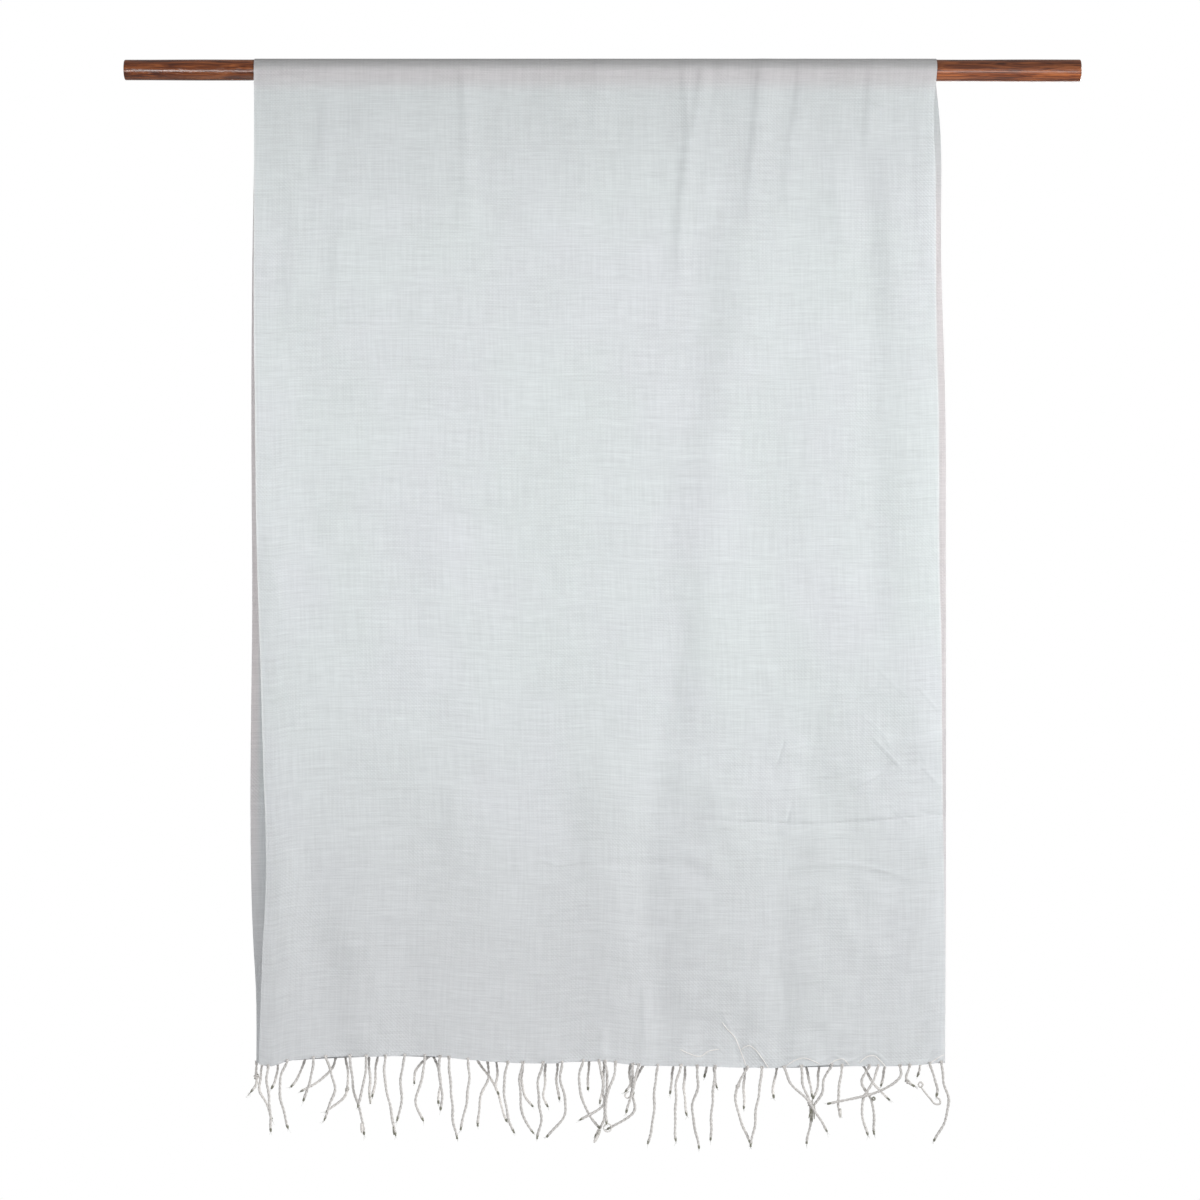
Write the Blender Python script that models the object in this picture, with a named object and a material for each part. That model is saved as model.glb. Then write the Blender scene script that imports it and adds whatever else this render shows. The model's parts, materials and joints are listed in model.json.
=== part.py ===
"""A fringed shawl hung over a round wooden rod, so that one half falls in front and one behind.

Metres, +Z up. The origin is the middle of the rod's axis. The rod runs along X, the front of the shawl
faces -Y and the back faces +Y. Tables in millimetres say so, and are turned into metres where they are read.
"""

import math
from collections import namedtuple

import bmesh
import bpy
import numpy as np

# Driving dimensions
MM = 0.001
ROD_DIAMETER = 0.0215
ROD_LENGTH = 0.954
ROD_SIDES = 32
ROD_EDGE = 0.0008
CLOTH_WALL = 0.0012
GAP = 0.0003
STRIP_HEIGHT = 0.0024
STRIP_DEPTH = 0.0016
STRAND_WIDTH = 0.0024
LANE_STEP = 0.0032

# How finely each piece is divided
FRONT_COLUMNS = 34
BACK_COLUMNS = 24
WRAP_STEPS = 10
STRAND_STEPS = (0.0, 0.15, 0.32, 0.5, 0.68, 0.84, 1.0)
FRONT_ROWS = (0.0, 0.012, 0.03, 0.055, 0.085) + tuple(np.linspace(0.12, 0.94, 21)) + (0.97, 1.0)
BACK_ROWS = (0.0, 0.02, 0.05) + tuple(np.linspace(0.1, 0.93, 13)) + (0.97, 1.0)

CLOTH_SEAT = ROD_DIAMETER / 2 + GAP + CLOTH_WALL / 2
FOLD_FADE = 0.3

# The side edges of each fall: height, and the left and right edge there, in millimetres
Edge = namedtuple("Edge", "z left right")
FRONT_EDGES = [
    Edge(0, -347.0, 333.0),
    Edge(-40, -346.6, 329.7),
    Edge(-100, -346.5, 331.0),
    Edge(-265, -346.4, 332.0),
    Edge(-335, -345.4, 333.8),
    Edge(-500, -343.0, 334.7),
    Edge(-570, -340.6, 336.5),
    Edge(-690, -337.0, 337.3),
    Edge(-800, -334.1, 339.0),
    Edge(-870, -337.5, 340.2),
    Edge(-990, -341.9, 340.0),
]
BACK_EDGES = [
    Edge(0, -347.0, 333.0),
    Edge(-40, -348.2, 337.5),
    Edge(-190, -351.5, 340.0),
    Edge(-330, -353.8, 344.2),
    Edge(-500, -353.3, 345.0),
    Edge(-870, -352.3, 345.2),
    Edge(-925, -348.6, 345.0),
    Edge(-1000, -350.6, 344.5),
]

# Each hem's depth below the rod's axis, across the cloth, in millimetres
Hem = namedtuple("Hem", "x drop")
FRONT_HEM = [
    Hem(-342, 990.2),
    Hem(-330, 992.2),
    Hem(-315, 987.7),
    Hem(-281, 983.8),
    Hem(-226, 982.3),
    Hem(-161, 982.8),
    Hem(-132, 985.7),
    Hem(-52, 989.2),
    Hem(-8, 986.7),
    Hem(37, 991.2),
    Hem(97, 992.2),
    Hem(177, 993.7),
    Hem(217, 991.2),
    Hem(262, 992.2),
    Hem(307, 991.2),
    Hem(340, 988.2),
]
BACK_HEM = [
    Hem(-351, 998.0),
    Hem(-300, 995.0),
    Hem(-220, 991.0),
    Hem(-160, 991.5),
    Hem(-50, 998.0),
    Hem(0, 997.5),
    Hem(100, 1001.0),
    Hem(180, 1003.0),
    Hem(345, 998.0),
]

# How far the middle of each fall's wall lies from the rod's axis, down the cloth, in millimetres
Belly = namedtuple("Belly", "z depth")
FRONT_BELLY = [Belly(-60, 12.4), Belly(-250, 14.2), Belly(-520, 16.4), Belly(-760, 17.4), Belly(-1000, 16.2)]
BACK_BELLY = [Belly(-60, 12.6), Belly(-280, 15.0), Belly(-560, 17.0), Belly(-800, 16.2), Belly(-1000, 15.2)]

# Soft folds. Each runs down from (x_top, z_top) past x_mid to (x_low, z_low). Its height is how far it
# stands out of the cloth, or into it where the height is negative. Millimetres.
Fold = namedtuple("Fold", "x_top z_top x_mid x_low z_low width height")
FRONT_FOLDS = [
    Fold(-144, 0, -141, -142, -150, 9, 1.8),
    Fold(-10, 0, -9, -8, -75, 8, 1.2),
    Fold(84, 0, 82, 72, -200, 9, 2.4),
    Fold(117, 0, 105, 95, -150, 9, 2.2),
    Fold(158, 0, 150, 138, -170, 13, 3.6),
    Fold(197, 0, 188, 181, -150, 9, 2.2),
    Fold(266, 0, 262, 260, -95, 9, 1.8),
    Fold(-290, -40, -286, -296, -110, 12, -1.6),
    Fold(-312, -140, -315, -318, -250, 13, -1.8),
    Fold(112, -190, 112, 118, -330, 18, -2.6),
    Fold(96, -330, 84, 90, -600, 22, -4.6),
    Fold(74, -640, 44, 66, -985, 19, -6.6),
    Fold(112, -690, 104, 112, -930, 26, 4.2),
    Fold(20, -700, 16, 22, -960, 24, 3.0),
    Fold(176, -820, 172, 170, -985, 17, -4.4),
    Fold(212, -770, 218, 214, -960, 22, 2.8),
    Fold(262, -90, 268, 270, -560, 16, -3.4),
    Fold(318, -60, 314, 318, -260, 9, -2.0),
    Fold(-172, -480, -166, -158, -790, 24, -2.6),
    Fold(-276, -850, -266, -256, -980, 15, -3.4),
    Fold(-196, -870, -190, -186, -985, 22, -3.8),
    Fold(-110, -720, -100, -96, -960, 26, 2.4),
    Fold(-34, -720, -30, -30, -800, 16, -1.8),
    Fold(-346, -470, -338, -344, -1010, 11, -4.6),
]
BACK_FOLDS = [
    Fold(-144, 0, -150, -152, -190, 11, 1.8),
    Fold(84, 0, 88, 96, -240, 12, 2.2),
    Fold(158, 0, 166, 176, -220, 14, 3.0),
    Fold(266, 0, 262, 254, -140, 11, 1.6),
    Fold(-250, -120, -236, -246, -520, 24, -3.4),
    Fold(-90, -260, -78, -92, -640, 26, -3.8),
    Fold(120, -300, 132, 118, -700, 26, -4.6),
    Fold(236, -420, 228, 240, -860, 24, 3.6),
    Fold(-170, -600, -182, -170, -990, 24, -5.0),
    Fold(20, -640, 30, 16, -1000, 28, 4.4),
    Fold(180, -760, 170, 184, -1000, 20, -4.6),
    Fold(-300, -700, -296, -304, -1000, 22, 3.4),
]

# One row for each strand, in millimetres: where its root is across the hem, how far it has swung sideways
# from there at each quarter of its drop, the drop, and the lane in which it passes in front of others
Strand = namedtuple("Strand", "root quarter half later tip drop lane")
FRONT_STRANDS = [
    Strand(-332.0, -1.5, 1.0, 2.0, 3.0, 65, 0),
    Strand(-313.0, -7.0, -7.0, -3.5, 1.0, 67, 0),
    Strand(-287.0, -1.0, -3.0, -7.0, -10.0, 43, 0),
    Strand(-275.0, 5.5, 9.0, 4.0, -2.0, 63, 0),
    Strand(-251.0, 2.0, 5.0, 11.5, 14.0, 78, 0),
    Strand(-234.5, -0.5, -2.0, -5.5, -8.0, 50, 1),
    Strand(-215.5, -1.0, 2.5, 6.5, 10.0, 79, 0),
    Strand(-196.5, -3.0, -3.6, -3.0, -8.0, 64, 1),
    Strand(-176.5, -1.5, -6.0, -9.0, -1.0, 65, 0),
    Strand(-161.5, -1.3, 1.0, 2.0, 1.0, 53, 0),
    Strand(-152.5, 1.0, 3.0, 4.0, 8.0, 81, 0),
    Strand(-133.5, 1.0, -0.5, -3.5, -8.0, 70, 0),
    Strand(-94.0, -3.7, -3.0, 0.0, 6.0, 70, 0),
    Strand(-79.0, -3.3, -2.0, 0.0, 11.0, 70, 0),
    Strand(-59.0, -5.0, -4.0, -2.0, -6.0, 75, 0),
    Strand(-40.0, -1.7, 3.3, 0.5, -16.0, 74, 0),
    Strand(-19.0, -4.5, -2.0, 4.0, 16.5, 67, 0),
    Strand(-3.5, 3.0, 4.0, 3.5, -19.0, 58, 1),
    Strand(2.5, 2.5, 0.0, -1.0, -10.0, 76, -1),
    Strand(13.0, -2.2, -8.5, -9.5, -9.5, 60, 2),
    Strand(30.0, -0.7, 0.0, 0.5, -26.0, 64, 0),
    Strand(36.0, -3.0, -6.0, -9.0, -13.0, 47, 1),
    Strand(55.0, -3.0, -3.6, -5.5, -10.0, 78, 0),
    Strand(78.0, -5.0, -5.0, -6.0, -5.0, 75, 0),
    Strand(94.0, 0.5, -5.0, -2.0, 2.0, 82, 0),
    Strand(112.0, -1.5, -3.0, -4.0, -4.5, 73, 0),
    Strand(144.0, -10.0, -11.0, -5.0, 2.5, 75, 0),
    Strand(158.5, -2.4, -5.7, -7.8, -12.0, 78, 1),
    Strand(180.5, 7.0, 23.0, 33.0, 42.0, 62, 3),
    Strand(197.5, 2.0, 9.0, 8.5, 5.0, 77, 0),
    Strand(228.0, -8.0, -9.0, -18.0, -21.0, 54, -1),
    Strand(238.0, -1.7, -3.2, -4.0, -1.0, 50, 0),
    Strand(265.0, -7.5, 2.5, 4.5, 5.0, 68, 0),
    Strand(274.0, -7.0, -16.0, -15.5, -11.0, 68, 1),
    Strand(295.5, 0.0, -11.0, -32.0, -74.0, 37, 2),
    Strand(305.0, -1.5, -3.0, -2.0, 5.0, 21, 0),
    Strand(325.0, 2.6, 5.4, 8.0, 6.0, 33, 0),
    Strand(336.5, 2.5, 7.3, 3.0, -7.5, 78, 0),
]
BACK_STRANDS = [
    Strand(-347.5, 0.0, 0.0, -1.0, -6.0, 30, 0),
    Strand(-341.5, -2.0, -2.5, 4.5, 10.0, 57, 0),
    Strand(-326.0, -0.5, -1.5, -3.0, -7.0, 28, 0),
    Strand(-299.0, -2.5, -5.0, -9.0, -15.0, 28, 0),
    Strand(-268.0, -2.5, -10.0, -20.0, -36.0, 34, 0),
    Strand(-258.0, 2.0, 2.6, -2.3, -19.0, 54, 0),
    Strand(-234.5, 0.5, 1.0, 1.0, 1.0, 45, 0),
    Strand(-225.5, -2.0, -3.0, -3.5, -6.0, 42, 1),
    Strand(-174.5, -8.0, -13.0, -13.5, -14.0, 27, 0),
    Strand(-169.0, 4.7, 7.0, 5.0, 5.0, 47, 0),
    Strand(-127.0, 10.5, 21.0, 25.0, 31.0, 65, 2),
    Strand(-116.0, 2.0, -5.0, -8.0, -9.0, 68, 0),
    Strand(-107.0, 1.4, 1.0, 0.0, 3.0, 35, -1),
    Strand(-80.0, -0.7, -0.5, 1.5, 11.0, 46, 0),
    Strand(-57.0, -0.5, -1.0, -2.0, 2.0, 45, 0),
    Strand(-45.0, -0.5, -1.0, 0.0, 2.0, 38, 0),
    Strand(-13.5, -0.3, -0.7, -1.0, -1.5, 29, 0),
    Strand(1.5, 0.0, -0.7, -2.0, -4.0, 43, 0),
    Strand(28.5, -1.0, -1.0, -1.0, -6.0, 31, 0),
    Strand(42.5, -3.0, -6.0, -9.0, -13.0, 24, 1),
    Strand(71.5, -1.0, -2.0, -3.0, -3.5, 30, 0),
    Strand(83.0, -0.5, -1.0, 0.0, 2.0, 51, 0),
    Strand(105.0, -0.5, -1.0, -2.0, -3.0, 12, 0),
    Strand(111.5, 0.7, 1.5, 2.5, 4.0, 23, 0),
    Strand(143.0, -0.5, -1.0, -1.0, -1.0, 43, 0),
    Strand(175.0, -1.3, -2.7, -4.3, -3.5, 31, 0),
    Strand(204.5, 2.0, 3.3, 4.7, 6.0, 30, 0),
    Strand(217.5, -0.6, -1.2, -2.2, -6.0, 33, 1),
    Strand(262.0, 5.0, 10.0, 17.5, 27.0, 35, 0),
    Strand(284.0, -1.0, -2.0, -3.0, -4.0, 22, 1),
    Strand(319.0, -0.5, -1.0, -2.0, -3.0, 13, 0),
]

# Finishes: base colour and roughness
Finish = namedtuple("Finish", "name colour roughness")
CLOTH = Finish("pale_cloth", (0.68, 0.71, 0.72), 0.9)
CORD = Finish("twisted_cord", (0.56, 0.53, 0.51), 0.92)
WOOD = Finish("polished_wood", (0.25, 0.085, 0.035), 0.35)


def clear_scene():
    """Removes whatever the scene holds."""
    for thing in list(bpy.data.objects):
        bpy.data.objects.remove(thing, do_unlink=True)


def column(rows, name):
    """One column of a table in millimetres, as metres."""
    return np.array([getattr(row, name) for row in rows]) * MM


def smooth_step(t):
    """0 below 0, 1 above 1, and a soft S between."""
    t = np.clip(t, 0.0, 1.0)
    return t * t * (3.0 - 2.0 * t)


def edge_at(edges, z):
    """The left and the right edge of a fall at height z."""
    heights = -column(edges, "z")
    left = np.interp(-z, heights, column(edges, "left"))
    right = np.interp(-z, heights, column(edges, "right"))
    return left, right


def hem_at(hem, x):
    """How far below the rod's axis a hem lies at x."""
    return np.interp(x, column(hem, "x"), column(hem, "drop"))


def belly_at(belly, z):
    """How far the middle of a fall's wall lies from the rod's axis at height z."""
    heights = np.concatenate([[0.0], -column(belly, "z")])
    depths = np.concatenate([[CLOTH_SEAT], column(belly, "depth")])
    return np.interp(-z, heights, depths)


def fold_height(folds, x, z):
    """How far all the folds together lift the cloth at x and z."""
    total = np.zeros(np.broadcast(x, z).shape)
    for fold in folds:
        z_top, z_low = fold.z_top * MM, fold.z_low * MM
        along = (z_top - z) / (z_top - z_low)
        bow = fold.x_mid - (fold.x_top + fold.x_low) / 2
        t = np.clip(along, 0.0, 1.0)
        centre = (fold.x_top + (fold.x_low - fold.x_top) * t + 4 * bow * t * (1 - t)) * MM
        across = np.exp(-(((x - centre) / (fold.width * MM)) ** 2))
        starts = 1.0 if fold.z_top == 0 else smooth_step((along + FOLD_FADE) / (2 * FOLD_FADE))
        ends = 1.0 - smooth_step((along - 1 + FOLD_FADE) / (2 * FOLD_FADE))
        total = total + fold.height * MM * across * starts * ends
    return total


def fall_points(edges, hem, belly, folds, columns, rows, side):
    """Rows of points on the middle of a fall's wall, top row first. side is -1 in front and 1 behind."""
    across = np.linspace(0.0, 1.0, columns + 1)
    points = np.empty((len(rows), columns + 1, 3))
    for i, down in enumerate(rows):
        rough_z = -down * hem_at(hem, 0.0)
        left, right = edge_at(edges, rough_z)
        x = left + (right - left) * across
        z = -GAP / 2 - down * (hem_at(hem, x) - GAP / 2)
        depth = belly_at(belly, z) + fold_height(folds, x, z)
        points[i] = np.stack([x, side * depth, z], axis=1)
    return points


def wrap_points(columns):
    """Rows of points on the middle of the wall over the rod, from its front edge over the top to its back.

    The folds that start at the rod stand out at its front and back, and lie down towards its top.
    """
    left, right = edge_at(FRONT_EDGES, 0.0)
    x = np.linspace(left, right, columns + 1)
    front_lift = fold_height(FRONT_FOLDS, x, 0.0)
    back_lift = fold_height(BACK_FOLDS, x, 0.0)
    start = math.asin(GAP / CLOTH_SEAT)
    angles = np.linspace(start, math.pi - start, WRAP_STEPS + 1)
    points = np.empty((len(angles), columns + 1, 3))
    for i, angle in enumerate(angles):
        lift = front_lift if angle < math.pi / 2 else back_lift
        radius = CLOTH_SEAT + lift * math.cos(angle) ** 2
        points[i] = np.stack([x, -radius * math.cos(angle), radius * math.sin(angle)], axis=1)
    return points


def add_object(name, mesh, finish):
    """Puts a mesh into the scene under its name, with its own material."""
    material = bpy.data.materials.new(finish.name + "_" + name)
    material.use_nodes = True
    shader = material.node_tree.nodes["Principled BSDF"]
    shader.inputs["Base Color"].default_value = (*finish.colour, 1.0)
    shader.inputs["Roughness"].default_value = finish.roughness
    mesh.materials.append(material)
    thing = bpy.data.objects.new(name, mesh)
    bpy.context.scene.collection.objects.link(thing)
    return thing


def mesh_from(name, bm, smooth=True):
    """A mesh from a bmesh, shaded smooth where asked."""
    mesh = bpy.data.meshes.new(name)
    bm.to_mesh(mesh)
    bm.free()
    if smooth:
        mesh.shade_smooth()
        mesh.set_sharp_from_angle(angle=math.radians(40))
    return mesh


def sheet(name, points, facing):
    """A cloth wall: the grid of points is its middle, and Solidify gives it its thickness."""
    rows, columns = points.shape[:2]
    bm = bmesh.new()
    grid = [[bm.verts.new(points[i, j]) for j in range(columns)] for i in range(rows)]
    for i in range(rows - 1):
        for j in range(columns - 1):
            corners = [grid[i][j], grid[i + 1][j], grid[i + 1][j + 1], grid[i][j + 1]]
            bm.faces.new(corners if facing < 0 else corners[::-1])
    thing = add_object(name, mesh_from(name, bm), CLOTH)
    wall = thing.modifiers.new("wall", "SOLIDIFY")
    wall.thickness = CLOTH_WALL
    wall.offset = 0.0
    return thing


def bridge(bm, ring, following):
    """Joins two rings of four corners with four faces."""
    for k in range(4):
        bm.faces.new([ring[k], ring[(k + 1) % 4], following[(k + 1) % 4], following[k]])


def strand_path(strand, x, y, z):
    """Points down the middle of a strand whose root is at x, y, z, and the strand's own lane beside it."""
    quarters = np.array([0.0, strand.quarter, strand.half, strand.later, strand.tip]) * MM
    before = np.concatenate([[2 * quarters[0] - quarters[1]], quarters[:-1]])
    after = np.concatenate([quarters[1:], [2 * quarters[-1] - quarters[-2]]])
    slopes = (after - before) / 2
    drop = strand.drop * MM - GAP - STRIP_HEIGHT
    side = 1.0 if y > 0 else -1.0
    path = []
    for step in STRAND_STEPS:
        part = min(int(step * 4), 3)
        t = step * 4 - part
        swing = (
            quarters[part] * (1 + 2 * t) * (1 - t) ** 2
            + slopes[part] * t * (1 - t) ** 2
            + quarters[part + 1] * t * t * (3 - 2 * t)
            - slopes[part + 1] * t * t * (1 - t)
        )
        lane = side * strand.lane * LANE_STEP * smooth_step(step / 0.3)
        path.append(np.array([x + swing, y + lane, z - drop * step]))
    return path


def strand_ring(centre, along):
    """The four corners of a strand at a point of its path, square to the way that the path runs."""
    along = along / np.linalg.norm(along)
    sideways = np.array([-along[2], 0.0, along[0]]) * STRAND_WIDTH / 2
    depth = np.array([0.0, STRAND_WIDTH / 2, 0.0])
    turns = [(-1, -1), (1, -1), (1, 1), (-1, 1)]
    return [centre + a * sideways + b * depth for a, b in turns]


def strip_section(bm, x, hem_points):
    """The four corners of a fringe's strip at x: top front, top back, bottom back and bottom front."""
    hem_x, hem_y, hem_z = hem_points.T
    y = np.interp(x, hem_x, hem_y)
    top = np.interp(x, hem_x, hem_z) - GAP
    front, back = y - STRIP_DEPTH / 2, y + STRIP_DEPTH / 2
    corners = [(front, top), (back, top), (back, top - STRIP_HEIGHT), (front, top - STRIP_HEIGHT)]
    return [bm.verts.new((x, *corner)) for corner in corners]


def fringe(name, hem_points, strands):
    """A narrow strip under a hem, with a strand drawn down from its underside at each root."""
    half = STRAND_WIDTH / 2
    roots = [strand.root * MM for strand in strands]
    lefts = [root - half for root in roots]
    rights = [root + half for root in roots]
    clear = [x for x in hem_points[:, 0] if all(abs(x - root) > STRAND_WIDTH for root in roots)]
    stations = sorted(lefts + rights + clear)
    bm = bmesh.new()
    sections = [strip_section(bm, x, hem_points) for x in stations]
    for station, left, right in zip(stations, sections, sections[1:]):
        sides = (0, 1, 3) if station in lefts else (0, 1, 2, 3)
        for k in sides:
            bm.faces.new([left[k], left[(k + 1) % 4], right[(k + 1) % 4], right[k]])
    bm.faces.new(sections[0])
    bm.faces.new(sections[-1])
    for strand, left_x in zip(strands, lefts):
        index = stations.index(left_x)
        left, right = sections[index], sections[index + 1]
        ring = [left[3], right[3], right[2], left[2]]
        root = sum((np.array(corner.co) for corner in ring), np.zeros(3)) / 4
        path = strand_path(strand, *root)
        for i in range(1, len(path)):
            ahead = path[min(i + 1, len(path) - 1)] - path[i - 1]
            following = [bm.verts.new(corner) for corner in strand_ring(path[i], ahead)]
            bridge(bm, ring, following)
            ring = following
        bm.faces.new(ring)
    bmesh.ops.recalc_face_normals(bm, faces=bm.faces)
    return add_object(name, mesh_from(name, bm, smooth=False), CORD)


def rod():
    """The round rod, with its ends cut square and their edges eased."""
    bm = bmesh.new()
    radius = ROD_DIAMETER / 2
    bmesh.ops.create_cone(
        bm, cap_ends=True, segments=ROD_SIDES, radius1=radius, radius2=radius, depth=ROD_LENGTH
    )
    rims = [edge for edge in bm.edges if abs(edge.verts[0].co.z - edge.verts[1].co.z) < ROD_EDGE]
    bmesh.ops.bevel(bm, geom=rims, offset=ROD_EDGE, segments=1, affect="EDGES")
    thing = add_object("rod", mesh_from("rod", bm), WOOD)
    thing.rotation_euler = (0.0, math.pi / 2, 0.0)
    return thing


def main():
    clear_scene()
    front = fall_points(FRONT_EDGES, FRONT_HEM, FRONT_BELLY, FRONT_FOLDS, FRONT_COLUMNS, FRONT_ROWS, -1)
    back = fall_points(BACK_EDGES, BACK_HEM, BACK_BELLY, BACK_FOLDS, BACK_COLUMNS, BACK_ROWS, 1)
    rod()
    sheet("front_fall", front, -1)
    sheet("over_rod", wrap_points(FRONT_COLUMNS), 1)
    sheet("back_fall", back, 1)
    fringe("fringe_front", front[-1], FRONT_STRANDS)
    fringe("fringe_back", back[-1], BACK_STRANDS)


main()
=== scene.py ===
"""The looks of a pale fringed shawl hung over a varnished wooden rod.

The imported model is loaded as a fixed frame. The shawl is one thin woven sheet that comes up from its front
hem, over the rod and down to its back hem, with a twisted fringe along each hem. Metres, +Z up; the front
faces -Y. Tables in millimetres say so, and are turned into metres where they are read.
"""

import json
import logging
import math
from collections.abc import Callable
from dataclasses import dataclass, field
from enum import Enum
from functools import partial
from typing import TypeVar

import bmesh
import bpy
import numpy as np
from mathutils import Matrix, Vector

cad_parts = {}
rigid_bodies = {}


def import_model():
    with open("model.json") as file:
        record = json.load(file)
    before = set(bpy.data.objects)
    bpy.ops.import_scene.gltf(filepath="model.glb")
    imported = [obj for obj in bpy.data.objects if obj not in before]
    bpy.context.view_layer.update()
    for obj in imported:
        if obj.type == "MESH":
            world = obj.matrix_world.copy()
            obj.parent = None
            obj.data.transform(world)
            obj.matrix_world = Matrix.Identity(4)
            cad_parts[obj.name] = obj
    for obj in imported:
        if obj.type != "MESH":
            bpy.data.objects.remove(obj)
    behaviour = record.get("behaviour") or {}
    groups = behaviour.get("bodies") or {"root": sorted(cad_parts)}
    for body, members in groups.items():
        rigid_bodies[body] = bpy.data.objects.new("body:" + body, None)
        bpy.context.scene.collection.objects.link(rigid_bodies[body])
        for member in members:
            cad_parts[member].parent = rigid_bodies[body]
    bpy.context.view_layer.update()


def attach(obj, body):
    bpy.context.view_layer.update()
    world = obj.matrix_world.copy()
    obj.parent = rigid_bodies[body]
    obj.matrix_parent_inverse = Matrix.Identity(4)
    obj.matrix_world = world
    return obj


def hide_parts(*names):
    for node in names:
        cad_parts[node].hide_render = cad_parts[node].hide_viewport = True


LOG = logging.getLogger("shawl")
BODY = "root"
MM = 0.001
NOISE_TABLE = 64

Row = TypeVar("Row")
Piece = bpy.types.Object
Socket = bpy.types.NodeSocket
Colour = tuple[float, float, float]
Path = tuple[tuple[float, float], ...]
Bands = tuple[tuple[float, float, int], ...]


class Run(Enum):
    """Which way a crease runs over the cloth."""

    DOWN = "down"
    ACROSS = "across"


class Kind(Enum):
    """How the crown of a crease is shaped."""

    SOFT = "soft"
    CRISP = "crisp"


class Side(Enum):
    """Which fall of the shawl, as the sign of its Y."""

    FRONT = -1.0
    BACK = 1.0


@dataclass(frozen=True)
class Edge:
    """The left and right edge of a fall at one height, in millimetres."""

    z: float
    left: float
    right: float


@dataclass(frozen=True)
class Hem:
    """How far a hem lies below the rod's axis at x, in millimetres."""

    x: float
    drop: float


@dataclass(frozen=True)
class Belly:
    """How far a fall's wall lies from the rod's axis at height z, in millimetres."""

    z: float
    depth: float


@dataclass(frozen=True)
class Crease:
    """One crease, in millimetres: its path of (x, z) points, its width on the near side of the path (left of
    it or above it) and on the far side, and how far it stands out of the cloth, negative into it."""

    run: Run
    kind: Kind
    path: Path
    before: float
    after: float
    height: float

    def measure(self, x: np.ndarray, z: np.ndarray) -> tuple[np.ndarray, np.ndarray, np.ndarray]:
        """Measures points against the crease's path.

        Args:
            x: Each point's place across, in metres.
            z: Each point's height, in metres.

        Returns:
            How far along the run each point lies, how far off the path, and the path's own places along it.
        """
        path = np.array(self.path, float) * MM
        if self.run is Run.DOWN:
            along, over, places, values = -z, x, -path[:, 1], path[:, 0]
        else:
            along, over, places, values = x, -z, path[:, 0], -path[:, 1]
        return along, over - smooth_line(along, places, values), places


@dataclass(frozen=True)
class Strand:
    """One fringe strand, in millimetres: its root across the hem, its sideways swing at each quarter of its
    drop, the drop, and the lane in which it passes in front of the others."""

    root: float
    quarter: float
    half: float
    later: float
    tip: float
    drop: float
    lane: float


@dataclass(frozen=True)
class Knot:
    """Turns of cord tied round a strand, in millimetres: the strand's root, how far down, and the width."""

    root: float
    down: float
    width: float


@dataclass(frozen=True)
class Loop:
    """One loose yarn that doesn't hang straight, in millimetres: its path of (x, z) points, its thickness,
    how far its middle lies in front of the fall's face, its share of painted light for yarn in shade (-1
    where it lies on the cloth and is painted lighter still) and how soiled it is."""

    path: Path
    thick: float
    proud: float
    age: float
    soil: float


@dataclass(frozen=True)
class Tuft:
    """The fibres that burst from a strand's tip: the strand's root and their length, in millimetres, and how
    many there are."""

    root: float
    length: float
    fibres: int


@dataclass(frozen=True)
class Rumple:
    """One layer of seeded unevenness, in millimetres: the size of its cells across and down, its height, the
    angle that its lattice is turned by, in degrees, and its seed."""

    across: float
    down: float
    height: float
    turn: float
    seed: int


def records(kind: Callable[..., Row], *rows: tuple) -> tuple[Row, ...]:
    """One record of a kind from each row of its values."""
    return tuple(kind(*row) for row in rows)


FRONT_EDGES = records(
    Edge,
    (0, -347, 333), (-40, -346.6, 329.7), (-100, -346.5, 331), (-265, -346.4, 332), (-335, -345.4, 333.8),
    (-500, -343, 334.7), (-570, -340.6, 336.5), (-690, -337, 337.3), (-800, -334.1, 339),
    (-870, -337.5, 340.2), (-990, -341.9, 340),
)
BACK_EDGES = records(
    Edge,
    (0, -347, 333), (-40, -348.2, 337.5), (-190, -351.5, 340), (-330, -352.6, 344.2), (-500, -352, 345),
    (-870, -350.8, 344.6), (-925, -347.8, 344.4), (-1000, -347.6, 344),
)
FRONT_HEM = records(
    Hem,
    (-342, 990.2), (-330, 992.2), (-315, 987.7), (-281, 983.8), (-226, 982.3), (-161, 982.8), (-132, 985.7),
    (-52, 989.2), (-8, 986.7), (37, 991.2), (97, 992.2), (177, 993.7), (217, 991.2), (262, 992.2),
    (307, 991.2), (340, 988.2),
)
BACK_HEM = records(
    Hem,
    (-351, 994), (-300, 991), (-220, 987), (-160, 987.5), (-50, 993), (0, 992.5), (100, 996.5), (180, 998),
    (345, 994),
)
FRONT_BELLY = records(
    Belly,
    (-60, 12.4), (-250, 14.2), (-520, 16.4), (-760, 17.4), (-1000, 16.2),
)
BACK_BELLY = records(
    Belly,
    (-60, 12.6), (-280, 15), (-560, 17), (-800, 16.2), (-1000, 15.2),
)

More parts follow.
